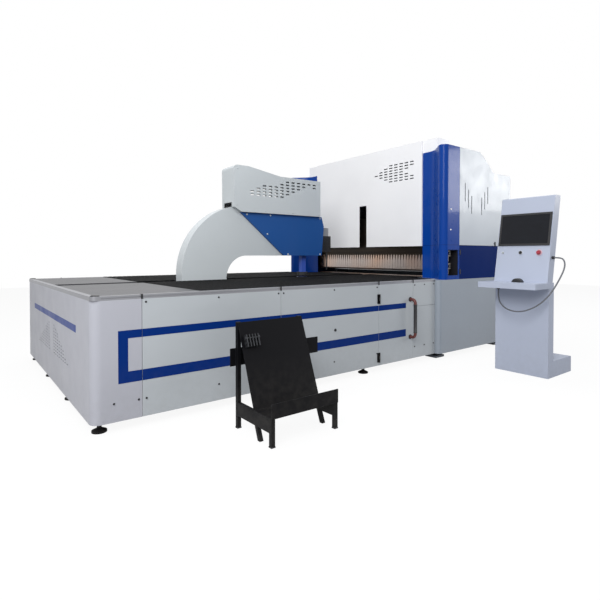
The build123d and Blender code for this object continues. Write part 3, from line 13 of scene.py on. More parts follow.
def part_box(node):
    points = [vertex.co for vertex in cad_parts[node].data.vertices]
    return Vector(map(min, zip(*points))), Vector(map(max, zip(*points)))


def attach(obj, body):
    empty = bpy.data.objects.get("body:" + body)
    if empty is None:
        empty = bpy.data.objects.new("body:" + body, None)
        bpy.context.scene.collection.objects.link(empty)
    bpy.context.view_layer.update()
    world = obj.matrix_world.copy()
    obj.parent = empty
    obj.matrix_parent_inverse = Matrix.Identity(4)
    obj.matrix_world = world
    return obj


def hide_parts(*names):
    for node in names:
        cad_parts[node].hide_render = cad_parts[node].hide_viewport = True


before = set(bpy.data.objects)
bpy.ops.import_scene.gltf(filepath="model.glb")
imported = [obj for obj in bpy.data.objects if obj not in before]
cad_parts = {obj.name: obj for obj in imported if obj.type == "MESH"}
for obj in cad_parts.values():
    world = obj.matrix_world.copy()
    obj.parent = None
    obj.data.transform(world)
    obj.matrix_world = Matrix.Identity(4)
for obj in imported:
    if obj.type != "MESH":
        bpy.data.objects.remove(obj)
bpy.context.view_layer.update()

log = logging.getLogger("bending_machine")
MILLIMETRE = 0.001
SMOOTH_ANGLE = math.radians(32.0)
MERGE = 1e-6

Span = tuple[float, float]
Triple = tuple[float, float, float]
Profile = tuple[Span, ...]
Row = tuple[float, ...]
Socket = bpy.types.NodeSocket
Material = bpy.types.Material
Mesh = bmesh.types.BMesh


def tint(red: int, green: int, blue: int) -> Triple:
    """Turn a screen colour of levels from 0 to 255 into the linear one that the shaders take."""
    shares = (level / 255.0 for level in (red, green, blue))
    return tuple(s / 12.92 if s <= 0.04045 else ((s + 0.055) / 1.055) ** 2.4 for s in shares)


def scaled(colour: Triple, share: float) -> Triple:
    """Return a colour made lighter or darker by a share."""
    return tuple(min(1.0, level * share) for level in colour)


class Body(Enum):
    """Moving bodies that carry the scene's pieces."""

    MACHINE = "machine"
    ARM = "manipulator"
    DOOR = "door"


class Slot(Enum):
    """Material slots of the record."""

    WHITE = "white_paint"
    BLUE = "blue_paint"
    BLACK = "black_paint"
    ALUMINIUM = "aluminium"
    STEEL = "bare_steel"
    BRUSH = "brush_black"
    RUBBER = "pad_rubber"
    SCREEN = "screen_black"
    RED = "control_red"
    CONTROL = "control_black"


class Grain(Enum):
    """Direction in which a metal is brushed, as stretches of its noise."""

    ALONG_X = (2.5, 240.0, 240.0)
    ALONG_Y = (240.0, 2.5, 240.0)
    ALONG_Z = (240.0, 240.0, 2.5)


class Nodes:
    """Node tree, with short ways to add nodes and join them."""

    def __init__(self, owner: bpy.types.ID) -> None:
        """Work on the node tree of a material or world."""
        owner.use_nodes = True
        self.tree = owner.node_tree

    def feed(self, socket: Socket, value: object) -> None:
        """Link a socket or set its own value.

        Args:
            socket: Input socket.
            value: Another node's output, a number or a colour.
        """
        if isinstance(value, Socket):
            self.tree.links.new(value, socket)
        elif isinstance(value, tuple) and len(value) == 3 and socket.type == "RGBA":
            socket.default_value = (*value, 1.0)
        else:
            socket.default_value = value

    def feed_named(self, node: bpy.types.Node, values: dict[str, object]) -> None:
        """Feed a node's sockets by name, with underscores for spaces."""
        for name, value in values.items():
            self.feed(node.inputs[name.replace("_", " ")], value)

    def node(self, kind: str, *row: object, **values: object) -> bpy.types.Node:
        """Add a node.

        Args:
            kind: Blender's name of the node.
            row: What its first sockets take.
            values: What its named sockets take, and in small letters its own settings.

        Returns:
            The node.
        """
        made = self.tree.nodes.new(kind)
        for name in [name for name in values if name.islower()]:
            setattr(made, name, values.pop(name))
        for socket, value in zip(made.inputs, row):
            self.feed(socket, value)
        self.feed_named(made, values)
        return made

    def maths(self, operation: str, *values: object) -> Socket:
        """Return a sum of one, two or three values, by Blender's name of it."""
        return self.node("ShaderNodeMath", *values, operation=operation).outputs["Value"]

    def mixed(self, share: object, first: Socket, second: Socket) -> Socket:
        """Return a mix of two shaders, with a share of the second."""
        return self.node("ShaderNodeMixShader", share, first, second).outputs["Shader"]


class Bench(Nodes):
    """Node tree of one finish, with its shader and its place on the object."""

    bevel_samples = 4
    edge_span = (0.8, 0.99)

    def __init__(self, name: str) -> None:
        """Start a material.

        Args:
            name: Name of the material.
        """
        self.material = bpy.data.materials.new(name)
        super().__init__(self.material)
        self.shader = self.tree.nodes["Principled BSDF"]
        self.place = self.node("ShaderNodeTexCoord").outputs["Object"]

    def dress(self, **values: object) -> None:
        """Feed the shader's sockets."""
        self.feed_named(self.shader, values)

    def noise(self, scale: float, detail: float = 2.0, place: Socket | None = None) -> Socket:
        """Return noise from 0 to 1, with so many waves to the metre of the object's own coordinates."""
        node = self.node("ShaderNodeTexNoise", Vector=place or self.place, Scale=scale, Detail=detail)
        return node.outputs["Fac"]

    def stretched(self, stretch: Triple) -> Socket:
        """Return the place on the object with each axis scaled, for brushed metal and smears."""
        return self.node("ShaderNodeMapping", Vector=self.place, Scale=stretch).outputs["Vector"]

    def spread(self, value: Socket, span: Span, to: Span) -> Socket:
        """Map a value from one range to another, held at the ends."""
        ends = {"From_Min": span[0], "From_Max": span[1], "To_Min": to[0], "To_Max": to[1]}
        return self.node("ShaderNodeMapRange", Value=value, **ends).outputs["Result"]

    def blend(self, share: object, first: object, second: object) -> Socket:
        """Mix two colours.

        Args:
            share: How much of the second colour.
            first: First colour.
            second: Second colour.

        Returns:
            The mixed colour.
        """
        node = self.node("ShaderNodeMix", share, data_type="RGBA")
        for index, value in ((6, first), (7, second)):
            self.feed(node.inputs[index], value)
        return node.outputs[2]

    def axes(self) -> list[Socket]:
        """Return X, Y and Z of the place on the object."""
        return list(self.node("ShaderNodeSeparateXYZ", Vector=self.place).outputs)

    def rounded(self, radius: float) -> tuple[Socket, Socket]:
        """Soften the edges and find them.

        Args:
            radius: Radius of the softened edge, in metres.

        Returns:
            The softened normal, and a mask that is 1 on the edges.
        """
        soft = self.node("ShaderNodeBevel", Radius=radius, samples=self.bevel_samples).outputs["Normal"]
        flat = self.node("ShaderNodeNewGeometry").outputs["Normal"]
        turn = self.node("ShaderNodeVectorMath", soft, flat, operation="DOT_PRODUCT").outputs["Value"]
        return soft, self.spread(turn, self.edge_span, (1.0, 0.0))

    def bump(self, height: Socket, distance: float, strength: float, normal: Socket | None = None) -> Socket:
        """Return a normal with a bump on it, whose full step is so many metres high."""
        under = {} if normal is None else {"Normal": normal}
        return self.node(
            "ShaderNodeBump", Height=height, Distance=distance, Strength=strength, **under
        ).outputs["Normal"]


@dataclass(frozen=True)
class Band:
    """Box of another colour painted on a finish, open on the axes that have no range."""

    colour: Triple
    x: Span | None = None
    y: Span | None = None
    z: Span | None = None

    def mask(self, bench: Bench) -> Socket:
        """Return 1 inside the band.

        Args:
            bench: Node tree that it is painted in.

        Returns:
            The mask.
        """
        inside = None
        for axis, span in zip(bench.axes(), (self.x, self.y, self.z)):
            if span is not None:
                middle, half = (span[0] + span[1]) / 2, (span[1] - span[0]) / 2
                within = bench.maths("COMPARE", axis, middle, half)
                inside = within if inside is None else bench.maths("MULTIPLY", inside, within)
        return inside


@dataclass(frozen=True)
class Finish:
    """Look of one material, laid on the object's own coordinates."""

    name: str
    colour: Triple

    def build(self) -> Material:
        """Build the finish.

        Returns:
            The material.
        """
        bench = Bench(self.name)
        self.lay(bench)
        return bench.material

    def lay(self, bench: Bench) -> None:
        """Lay the finish on a bench, which each kind does in its own way."""
        raise NotImplementedError

    def tone(self, bench: Bench, share: Socket, low: float, high: float) -> Socket:
        """Return the colour, moved by a share between a darker and a lighter tone."""
        return bench.blend(share, scaled(self.colour, low), scaled(self.colour, high))


@dataclass(frozen=True)
class Paint(Finish):
    """Sprayed or powder-coated metal, with orange peel, slow drift, speckled darkening towards the bottom and
    worn edges, which on satin black are also a painted highlight.
    """

    roughness: float = 0.42
    coat: float = 0.0
    specular: float = 0.4
    peel: float = 0.12
    drift: float = 0.05
    rim: Triple | None = None
    rim_share: float = 0.35
    edge: float = 0.0018
    wave: float = 0.0
    # Share of a speckled warm-grey darkening towards the bottom.
    low_darkening: float = 0.10
    bands: tuple[Band, ...] = ()
    drift_scale: float = 1.7
    low_darkening_scale: float = 23.0
    low_darkening_height: Span = (0.05, 0.5)
    low_darkening_colour: Triple = tint(120, 116, 110)
    rim_scale: float = 38.0
    wave_scale: float = 2.2
    wave_height: float = 0.02
    peel_scale: float = 420.0
    peel_height: float = 0.0004
    gloss_scale: float = 6.0
    coat_roughness: float = 0.06

    def lay(self, bench: Bench) -> None:
        """Lay drift, bands, speckled darkening towards the bottom, worn edges (on satin black also a painted
        highlight), waves and orange peel.

        Args:
            bench: Node tree that takes the finish.
        """
        colour = self.tone(bench, bench.noise(self.drift_scale, 3.0), 1 - self.drift, 1 + self.drift)
        for band in self.bands:
            colour = bench.blend(band.mask(bench), colour, band.colour)
        # Speckled darkening towards the bottom: full below 5 cm, gone by half a metre.
        low = bench.spread(bench.axes()[2], self.low_darkening_height, (self.low_darkening, 0.0))
        speckle = bench.spread(bench.noise(self.low_darkening_scale, 5.0), (0.35, 0.7), (0.2, 1.0))
        colour = bench.blend(bench.maths("MULTIPLY", low, speckle), colour, self.low_darkening_colour)
        normal, rims = bench.rounded(self.edge)
        # Edges mixed in patches towards the rim colour: wear, and on satin black also a painted highlight
        # along the edges.
        if self.rim is not None:
            wear_and_highlight = (0.25 * self.rim_share, self.rim_share)
            patchy = bench.spread(bench.noise(self.rim_scale, 4.0), (0.4, 0.65), wear_and_highlight)
            colour = bench.blend(bench.maths("MULTIPLY", rims, patchy), colour, self.rim)
        if self.wave > 0:
            normal = bench.bump(bench.noise(self.wave_scale, 1.0), self.wave_height, self.wave, normal)
        normal = bench.bump(bench.noise(self.peel_scale, 1.0), self.peel_height, self.peel, normal)
        rough = (self.roughness - 0.05, self.roughness + 0.06)
        gloss = bench.spread(bench.noise(self.gloss_scale, 4.0), (0.3, 0.7), rough)
        bench.dress(Base_Color=colour, Roughness=gloss, Normal=normal, Specular_IOR_Level=self.specular)
        bench.dress(Coat_Weight=self.coat, Coat_Roughness=self.coat_roughness)


@dataclass(frozen=True)
class Metal(Finish):
    """Brushed or ground metal with streaks along its grain."""

    roughness: float = 0.34
    grain: Grain = Grain.ALONG_X
    # Colour and size of warm patches painted in as a reflection of warm surroundings.
    warm_reflection: Triple | None = None
    warm_reflection_scale: float = 1.5
    edge: float = 0.0012
    streak_height: float = 0.0003

    def lay(self, bench: Bench) -> None:
        """Lay streaks, warm patches of painted reflection, and edges lightened as a painted highlight.

        Args:
            bench: Node tree that takes the finish.
        """
        streaks = bench.noise(1.0, 3.0, bench.stretched(self.grain.value))
        colour = self.tone(bench, streaks, 0.82, 1.1)
        if self.warm_reflection is not None:
            # Painted reflection: warm patches where the noise is high.
            glow = bench.spread(bench.noise(self.warm_reflection_scale, 2.0), (0.38, 0.62), (0.0, 0.8))
            colour = bench.blend(glow, colour, self.warm_reflection)
        normal, rims = bench.rounded(self.edge)
        # Painted highlight: edges mixed towards a tone a quarter lighter.
        colour = bench.blend(bench.maths("MULTIPLY", rims, 0.5), colour, scaled(self.colour, 1.25))
        normal = bench.bump(streaks, self.streak_height, 0.25, normal)
        gloss = bench.spread(streaks, (0.25, 0.75), (self.roughness - 0.08, self.roughness + 0.1))
        bench.dress(Base_Color=colour, Roughness=gloss, Normal=normal, Metallic=1.0)


@dataclass(frozen=True)
class Bristles(Finish):
    """Brush deck: tufts of dark bristles with lighter tips."""

    tips: Triple
    tuft_scale: float = 95.0
    tuft_height: float = 0.003
    hair_scale: float = 700.0
    wear_scale: float = 4.0
    roughness: float = 0.78
    specular: float = 0.08

    def lay(self, bench: Bench) -> None:
        """Lay tufts, hairs and patches of worn tips.

        Args:
            bench: Node tree that takes the finish.
        """
        tufts = bench.node("ShaderNodeTexVoronoi", Vector=bench.place, Scale=self.tuft_scale)
        far = bench.spread(tufts.outputs["Distance"], (0.0, 0.6), (1.0, 0.0))
        height = bench.maths("MULTIPLY_ADD", bench.noise(self.hair_scale, 2.0), 0.35, far)
        worn = bench.spread(bench.noise(self.wear_scale, 3.0), (0.35, 0.65), (0.25, 0.8))
        colour = bench.blend(bench.maths("MULTIPLY", far, worn), self.colour, self.tips)
        normal = bench.bump(height, self.tuft_height, 0.8)
        bench.dress(Base_Color=colour, Normal=normal)
        bench.dress(Roughness=self.roughness, Specular_IOR_Level=self.specular)


@dataclass(frozen=True)
class Moulding(Finish):
    """Moulded plastic or rubber with a fine spark-eroded grain."""

    roughness: float = 0.45
    grain: float = 0.25
    grain_scale: float = 900.0
    coat: float = 0.0
    bands: tuple[Band, ...] = ()
    mottle_scale: float = 14.0
    gloss_scale: float = 30.0
    grain_height: float = 0.0002
    edge: float = 0.001

    def lay(self, bench: Bench) -> None:
        """Lay mottle, bands, edges lightened as a painted highlight, and grain.

        Args:
            bench: Node tree that takes the finish.
        """
        colour = self.tone(bench, bench.noise(self.mottle_scale, 3.0), 0.88, 1.12)
        for band in self.bands:
            colour = bench.blend(band.mask(bench), colour, band.colour)
        normal, rims = bench.rounded(self.edge)
        # Painted highlight: edges mixed towards a paler tone.
        colour = bench.blend(bench.maths("MULTIPLY", rims, 0.3), colour, scaled(self.colour, 1.6))
        normal = bench.bump(bench.noise(self.grain_scale, 2.0), self.grain_height, self.grain, normal)
        rough = (self.roughness - 0.06, self.roughness + 0.06)
        gloss = bench.spread(bench.noise(self.gloss_scale, 3.0), (0.3, 0.7), rough)
        bench.dress(Base_Color=colour, Roughness=gloss, Normal=normal, Coat_Weight=self.coat)


@dataclass(frozen=True)
class Pane(Finish):
    """Dark screen glass with faint smears."""

    smear_scale: float = 9.0
    smear_stretch: Triple = (1.0, 1.0, 3.0)
    roughness: Span = (0.07, 0.2)
    specular: float = 0.2

    def lay(self, bench: Bench) -> None:
        """Lay the smears.

        Args:
            bench: Node tree that takes the finish.
        """
        smears = bench.noise(self.smear_scale, 4.0, bench.stretched(self.smear_stretch))
        gloss = bench.spread(smears, (0.4, 0.65), self.roughness)
        bench.dress(Base_Color=self.tone(bench, smears, 0.8, 1.25), Roughness=gloss)
        bench.dress(Specular_IOR_Level=self.specular)


class Shape:
    """Ready shapes, each a fresh mesh that stands at the origin."""

    ring_steps = 32
    grip_steps = 28
    thin_steps = 16
    screw_sides = 18
    rod_sides = 12
    bend_steps = 10

    @staticmethod
    def slab(size: Triple, edge: float = 0.0, segments: int = 1) -> Mesh:
        """Make a box round the origin with bevelled edges.

        Args:
            size: Length on each axis.
            edge: Width of the bevel, or 0 for sharp edges.
            segments: Steps of the bevel.

        Returns:
            The mesh.
        """
        mesh = bmesh.new()
        bmesh.ops.create_cube(mesh, size=1.0)
        bmesh.ops.scale(mesh, vec=size, verts=mesh.verts)
        if edge > 0:
            bmesh.ops.bevel(
                mesh, geom=mesh.edges[:], offset=edge, offset_type="OFFSET", segments=segments,
                profile=0.5, affect="EDGES", material=-1, clamp_overlap=True,
            )
        return mesh

    @staticmethod
    def turned(profile: Profile, steps: int = 24) -> Mesh:
        """Spin a profile round the Z axis.

        Args:
            profile: Radius and height of each point, from one end to the other.
            steps: Steps of the full turn.

        Returns:
            The mesh.
        """
        mesh = bmesh.new()
        verts = [mesh.verts.new((radius, 0.0, height)) for radius, height in profile]
        edges = [mesh.edges.new(pair) for pair in zip(verts, verts[1:])]
        bmesh.ops.spin(
            mesh, geom=verts + edges, cent=(0, 0, 0), axis=(0, 0, 1), angle=2 * math.pi,
            steps=steps, use_merge=True,
        )
        bmesh.ops.remove_doubles(mesh, verts=mesh.verts, dist=MERGE)
        bmesh.ops.recalc_face_normals(mesh, faces=mesh.faces)
        return mesh

    @staticmethod
    def ring(inner: float, outer: float, height: float, edge: float) -> Mesh:
        """Make a collar with bevelled outer and inner rims.

        Args:
            inner: Inner radius.
            outer: Outer radius.
            height: Height above its seat.
            edge: Size of the bevels.

        Returns:
            The mesh.
        """
        profile = (
            (inner, 0.0), (outer, 0.0), (outer, height - edge), (outer - edge, height),
            (inner + edge, height), (inner, height - edge), (inner, 0.0),
        )
        return Shape.turned(profile, Shape.ring_steps)

    @staticmethod
    def screw(radius: float, height: float) -> Mesh:
        """Make a button head with a socket in its crown.

        Args:
            radius: Radius of the head.
            height: Height of the head.

        Returns:
            The mesh.
        """
        mesh = bmesh.new()
        bmesh.ops.create_cone(
            mesh, cap_ends=True, segments=Shape.screw_sides, radius1=radius, radius2=0.7 * radius,
            depth=height,
        )
        bmesh.ops.translate(mesh, vec=(0, 0, height / 2), verts=mesh.verts)
        crown = max(mesh.faces, key=lambda face: face.calc_center_median().z)
        bmesh.ops.inset_individual(mesh, faces=[crown], thickness=0.25 * radius, depth=0.0)
        bmesh.ops.inset_individual(mesh, faces=[crown], thickness=0.02 * radius, depth=-0.6 * height)
        return mesh

    @staticmethod
    def nut(radius: float, height: float, washer: float) -> Mesh:
        """Make a hexagon nut on a washer.

        Args:
            radius: Radius over the nut's corners.
            height: Height of nut and washer.
            washer: Thickness of the washer.

        Returns:
            The mesh.
        """
        mesh = bmesh.new()
        bmesh.ops.create_cone(
            mesh, cap_ends=True, segments=6, radius1=radius, radius2=radius, depth=height - washer
        )
        rims = [edge for edge in mesh.edges if abs(edge.verts[0].co.z - edge.verts[1].co.z) < MERGE]
        bmesh.ops.bevel(
            mesh, geom=rims, offset=0.12 * radius, offset_type="OFFSET", segments=1, profile=0.5,
            affect="EDGES", material=-1, clamp_overlap=True,
        )
        bmesh.ops.translate(mesh, vec=(0, 0, washer + (height - washer) / 2), verts=mesh.verts)
        disc = Shape.turned(((0, 0), (1.25 * radius, 0), (1.25 * radius, washer), (0, washer)))
        Shape.join(mesh, disc, Matrix.Identity(4))
        return mesh

    @staticmethod
    def bent_rod(radius: float, bend: float, angle: float, tail: float) -> Mesh:
        """Make a rod that runs straight up Z and then bends over towards X.

        Args:
            radius: Radius of the rod.
            bend: Radius of the bend's middle line.
            angle: Turn of the bend.
            tail: Length of the straight part.

        Returns:
            The mesh.
        """
        mesh = bmesh.new()
        made = bmesh.ops.create_circle(mesh, cap_ends=True, segments=Shape.rod_sides, radius=radius)
        start = list({face for vert in made["verts"] for face in vert.link_faces})
        run = bmesh.ops.extrude_face_region(mesh, geom=start)["geom"]
        top = [part for part in run if isinstance(part, bmesh.types.BMVert)]
        bmesh.ops.translate(mesh, vec=(0, 0, tail), verts=top)
        end = [part for part in run if isinstance(part, bmesh.types.BMFace)]
        bmesh.ops.spin(
            mesh, geom=end, cent=(bend, 0, tail), axis=(0, 1, 0), angle=angle, steps=Shape.bend_steps,
            use_merge=False,
        )
        bmesh.ops.remove_doubles(mesh, verts=mesh.verts, dist=MERGE)
        bmesh.ops.recalc_face_normals(mesh, faces=mesh.faces)
        return mesh

    @staticmethod
    def join(mesh: Mesh, shape: Mesh, place: Matrix) -> None:
        """Put a shape into a mesh and free it.

        Args:
            mesh: Mesh that takes it.
            shape: Shape to add.
            place: Where it goes.
        """
        bmesh.ops.transform(shape, matrix=place, verts=shape.verts)
        store = bpy.data.meshes.new("store")
        shape.to_mesh(store)
        shape.free()
        mesh.from_mesh(store)
        bpy.data.meshes.remove(store)


class Facing(Enum):
    """Directions that a shape's own Z axis can be turned to."""

    UP = (0.0, 0.0, 1.0)
    NEAR = (0.0, -1.0, 0.0)
    FAR = (0.0, 1.0, 0.0)
    EXIT = (1.0, 0.0, 0.0)


SIDES = ((-1, "near", Facing.NEAR), (1, "far", Facing.FAR))


def stand(at: Triple | Vector, facing: Facing = Facing.UP) -> Matrix:
    """Return the place of a shape, with its origin at a point and its Z axis facing a direction."""
    turn = Vector(facing.value).to_track_quat("Z", "Y").to_matrix().to_4x4()
    return Matrix.Translation(Vector(at)) @ turn


def frame_bars(across: Span, up: Span, lip: float) -> tuple[tuple[Span, Span], ...]:
    """Return the four bars of a frame round an opening.

    Args:
        across: Left and right ends of the opening.
        up: Its lower and upper ends.
        lip: Width of a bar.

    Returns:
        The ends of each bar, across and up.
    """
    (left, right), (low, high) = across, up
    whole = (left - lip, right + lip)
    return (
        (whole, (low - lip, low)), (whole, (high, high + lip)),
        ((left - lip, left), up), ((right, right + lip), up),
    )


def link(name: str, data: bpy.types.ID) -> bpy.types.Object:
    """Return a new object that shows a mesh, curve, camera or lamp in the scene."""
    bpy.context.scene.collection.objects.link(made := bpy.data.objects.new(name, data))
    return made


class Piece:
    """One piece of trim, made of shapes that share a finish and ride on one body."""

    def __init__(self, name: str) -> None:
        """Start an empty piece with a name."""
        self.name = name
        self.mesh = bmesh.new()

    def add(self, shape: Mesh, place: Matrix) -> None:
        """Add a shape at a place."""
        Shape.join(self.mesh, shape, place)

    def box(self, low: Triple, high: Triple, edge: float = 0.0, segments: int = 1) -> None:
        """Add a box between its lowest and highest corners, with bevels of some width and steps."""
        size, middle = Vector(high) - Vector(low), (Vector(low) + Vector(high)) / 2
        self.add(Shape.slab(tuple(size), edge, segments), Matrix.Translation(middle))

    def screws(self, size: Span, places: Profile, y: float, facing: Facing) -> None:
        """Put screws of some radius and height into an upright face, at pairs of X and Z."""
        for x, z in places:
            self.add(Shape.screw(*size), stand((x, y, z), facing))

    def finish(self, material: Material, slot: Slot, body: Body) -> None:
        """Turn the piece into an object that rides on its body.

        Args:
            material: Finish of the piece.
            slot: Slot of the record that it belongs to; not used.
            body: Body that carries it.
        """
        data = bpy.data.meshes.new(self.name)
        self.mesh.to_mesh(data)
        self.mesh.free()
        data.materials.append(material)
        data.shade_smooth()
        data.set_sharp_from_angle(angle=SMOOTH_ANGLE)
        piece = link(self.name, data)
        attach(piece, body.value)
        log.info("%s on %s with %d faces", self.name, body.value, len(data.polygons))


@dataclass
class Camera:
    """Camera at the photograph's viewpoint."""

    eye: Triple = (-5.2133, -4.6393, 1.204)
    yaw: float = 37.671
    pitch: float = -0.95
    lens: float = 27.256
    sensor: float = 36.0
    drop: float = -0.0621
    far: float = 200.0

    def build(self) -> None:
        """Make the camera and hand it to the scene."""
        data = bpy.data.cameras.new("photo_camera")
        data.lens, data.sensor_width, data.shift_y = self.lens, self.sensor, self.drop
        data.clip_end = self.far
        camera = link("photo_camera", data)
        yaw, pitch = math.radians(self.yaw), math.radians(self.pitch)
        ahead = Vector((math.sin(yaw) * math.cos(pitch), math.cos(yaw) * math.cos(pitch), math.sin(pitch)))
        turn = ahead.to_track_quat("-Z", "Y").to_matrix().to_4x4()
        camera.matrix_world = Matrix.Translation(self.eye) @ turn
        bpy.context.scene.camera = camera
        log.info("camera at %s", self.eye)


@dataclass
class ConsoleCable:
    """Cable that hangs from the console head's side to the underside of the shelf."""

    length: float = 1.143
    diameter: float = 0.014
    order: int = 3
    run_steps: int = 12
    round_steps: int = 5
    route: tuple[Triple, ...] = (
        (-560, -2659, 1180), (-560, -2717, 1180), (-574, -2750, 1157), (-591, -2766, 1117),
        (-609, -2765, 1068), (-628, -2751, 1014), (-652, -2732, 955), (-677, -2709, 893),
        (-703, -2680, 831), (-730, -2642, 773), (-755, -2593, 722), (-774, -2532, 682),
        (-784, -2465, 655), (-789, -2393, 646), (-786, -2323, 656), (-776, -2260, 684),
        (-763, -2213, 731), (-742, -2190, 795), (-742, -2190, 856),
    )

    def build(self, material: Material) -> None:
        """Make the cable in place of its plain tube.

        Args:
            material: Finish of the cable's jacket.
        """
        curve = bpy.data.curves.new("console_cord", "CURVE")
        curve.dimensions = "3D"
        curve.resolution_u = self.run_steps
        curve.bevel_depth = self.diameter / 2
        curve.bevel_resolution = self.round_steps
        line = curve.splines.new("NURBS")
        line.points.add(len(self.route) - 1)
        for point, place in zip(line.points, self.route):
            point.co = (*(MILLIMETRE * number for number in place), 1.0)
        line.order_u = self.order
        line.use_endpoint_u = True
        curve.materials.append(material)
        cable = link("console_cord", curve)
        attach(cable, Body.MACHINE.value)
        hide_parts("console_cable")
        log.info("cable of %.3f m", self.length)


class Finishes:
    """All finishes of the machine by name, each given to the nodes that take it."""

    white = tint(176, 181, 185)
    royal = tint(8, 62, 148)
    navy = tint(6, 36, 98)
    worn = tint(176, 178, 182)
    end_stripe_share = 0.348
    end_stripe_depth = (-0.01, 0.003)
    end_stripe_z = (0.635, 0.690)
    # Painted shade: dark grey inside the air-unit recess of the near column.
    recess_shade = Band(tint(40, 40, 45), (-0.6215, -0.4235), (-1.508, -1.39), (0.9655, 1.2665))
    seam = Band(tint(10, 18, 44), z=(1.3235, 1.3265))
    hinge_leaf = Band(tint(20, 20, 22), x=(-1.80, -1.60))
    motor_cap = Band(tint(150, 152, 156), z=(1.4585, 1.60))

    def __init__(self) -> None:
        """Build every finish once and dress the frame's nodes."""
        self.made: dict[str, Material] = {}
        bare = set(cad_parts)
        for finish, nodes in (*self.paints(), *self.metals(), *self.mouldings()):
            material = self.made[finish.name] = finish.build()
            for name in nodes.split():
                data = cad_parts[name].data
                for index in range(len(data.materials)):
                    data.materials[index] = material
                if not data.materials:
                    data.materials.append(material)
                bare.remove(name)
        log.info("%d finishes, bare nodes: %s", len(self.made), sorted(bare))

    def coat(self, name: str, colour: Triple, gloss: float = 0.15, **extra: object) -> Paint:
        """Return a white powder coat with slightly dirty edges and a clear layer of some weight."""
        return Paint(name, colour, 0.36, coat=gloss, rim=self.worn, **extra)

    def end_stripe(self) -> Band:
        """Place the stripe's short run on the table's end cover.

        Returns:
            The stripe.
        """
        low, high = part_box("table_end_cover")
        half = self.end_stripe_share * (high.y - low.y)
        back, front = self.end_stripe_depth
        return Band(tint(20, 54, 128), (low.x + back, low.x + front), (-half, half), self.end_stripe_z)

    def paints(self) -> list[tuple[Finish, str]]:
        """List each paint with the nodes that take it, in one line of names.

        Returns:
            Pairs of a finish and its nodes.
        """
        return [
            (self.coat("table_white", self.white), "table_panels side_door"),
            (self.coat(
                "end_cover_white", tint(174, 175, 183), 0.0, specular=0.08, bands=(self.end_stripe(),)
            ), "table_end_cover"),
            (self.coat("arm_white", tint(198, 204, 207)), "c_arm head_hood"),
            # Painted light: the bender's white made brighter on the front cover for the overhead light that
            # falls on it.
            (self.coat("cover_white_painted_light", tint(247, 247, 249), wave=0.35), "front_cover"),
            # Painted shade: the same white as the front cover, darker for the shade on the side panels' lower
            # part; the roof and rear covers share it.
            (self.coat(
                "panel_white_painted_shade", tint(186, 193, 201), 0.1, specular=0.28, wave=0.35
            ), "side_panels roof_cover rear_covers"),
            # Painted shade: the same white, darker for the shade that falls on the base panels.
            (self.coat("base_white_painted_shade", tint(146, 154, 164)), "base_panels"),
            (Paint("stripe_blue", tint(4, 42, 112), 0.45, specular=0.06, peel=0.05), ""),
            (Paint(
                "column_blue", self.royal, 0.3, coat=0.16, specular=0.05, peel=0.04,
                rim=tint(60, 96, 170), rim_share=0.12, wave=0.25, bands=(self.recess_shade, self.seam),
            ), "corner_columns"),
            (Paint(
                "band_blue", self.navy, 0.45, specular=0.02, peel=0.05, rim=tint(40, 66, 130)
            ), "side_bands"),
            (Paint(
                "arm_cover_blue", tint(36, 84, 150), 0.36, coat=0.05, specular=0.12, rim=tint(70, 104, 160)
            ), "arm_covers"),
            (Paint(
                "ram_blue", tint(64, 94, 186), 0.34, coat=0.05, specular=0.15, rim=tint(110, 126, 180)
            ), "press_ram"),
            (Paint("frame_grey", tint(92, 98, 108), 0.5, rim=self.worn, drift=0.08), "table_beams"
             " table_cross_tubes table_posts base_frame side_frames crown_beam lower_beam blade_carriage"
             " blade_frame carriage_plate"),
            # Its lighter grey rim is partly wear and partly a painted highlight along the edges.
            (Paint(
                "satin_black", tint(12, 12, 15), 0.5, specular=0.08, drift=0.12, rim=tint(90, 94, 100),
                rim_share=0.4,
            ), "table_feet door_hinges stand_frame stand_sheet"),
            (Paint(
                "handle_brown", tint(92, 44, 40), 0.4, rim=tint(150, 110, 100), bands=(self.hinge_leaf,),
                low_darkening=0.05,
            ), "door_fittings"),
            (self.coat(
                "console_white", tint(180, 187, 204), 0.0, specular=0.06, drift=0.04
            ), "console_stand console_head console_shelf"),
        ]

    def metals(self) -> list[tuple[Finish, str]]:
        """List each bare metal with the nodes that take it, in one line of names.

        Returns:
            Pairs of a finish and its nodes.
        """
        return [
            (Metal("rail_grey", tint(150, 151, 156), 0.42), "top_rails"),
            (Metal("deck_steel", tint(88, 88, 92), 0.42), "steel_top_plates"),
            (Metal("ground_steel", tint(186, 188, 192), 0.28), "guide_rails gear_rack drive_pinion"
             " bearing_blocks turntable turntable_housing lift_cylinders bend_blades"),
            # Painted reflection: the warm base tint and the copper patches stand for warm surroundings
            # mirrored in the tools.
            (Metal(
                "tool_steel", tint(190, 178, 172), 0.3, Grain.ALONG_Z, warm_reflection=tint(214, 170, 138),
                warm_reflection_scale=1.2,
            ), "upper_tools lower_tool"),
            # Painted reflection: warm patches like those on the tools.
            (Metal(
                "dark_steel", tint(52, 53, 52), 0.45, Grain.ALONG_Y, warm_reflection=tint(66, 58, 50)
            ), "tool_strip upper_beam"),
            (Metal("aluminium", tint(196, 198, 202), 0.4, Grain.ALONG_Z), "press_cylinder"),
            (Metal("clamp_steel", tint(66, 67, 70), 0.48, Grain.ALONG_Z), "clamp_block"),
        ]

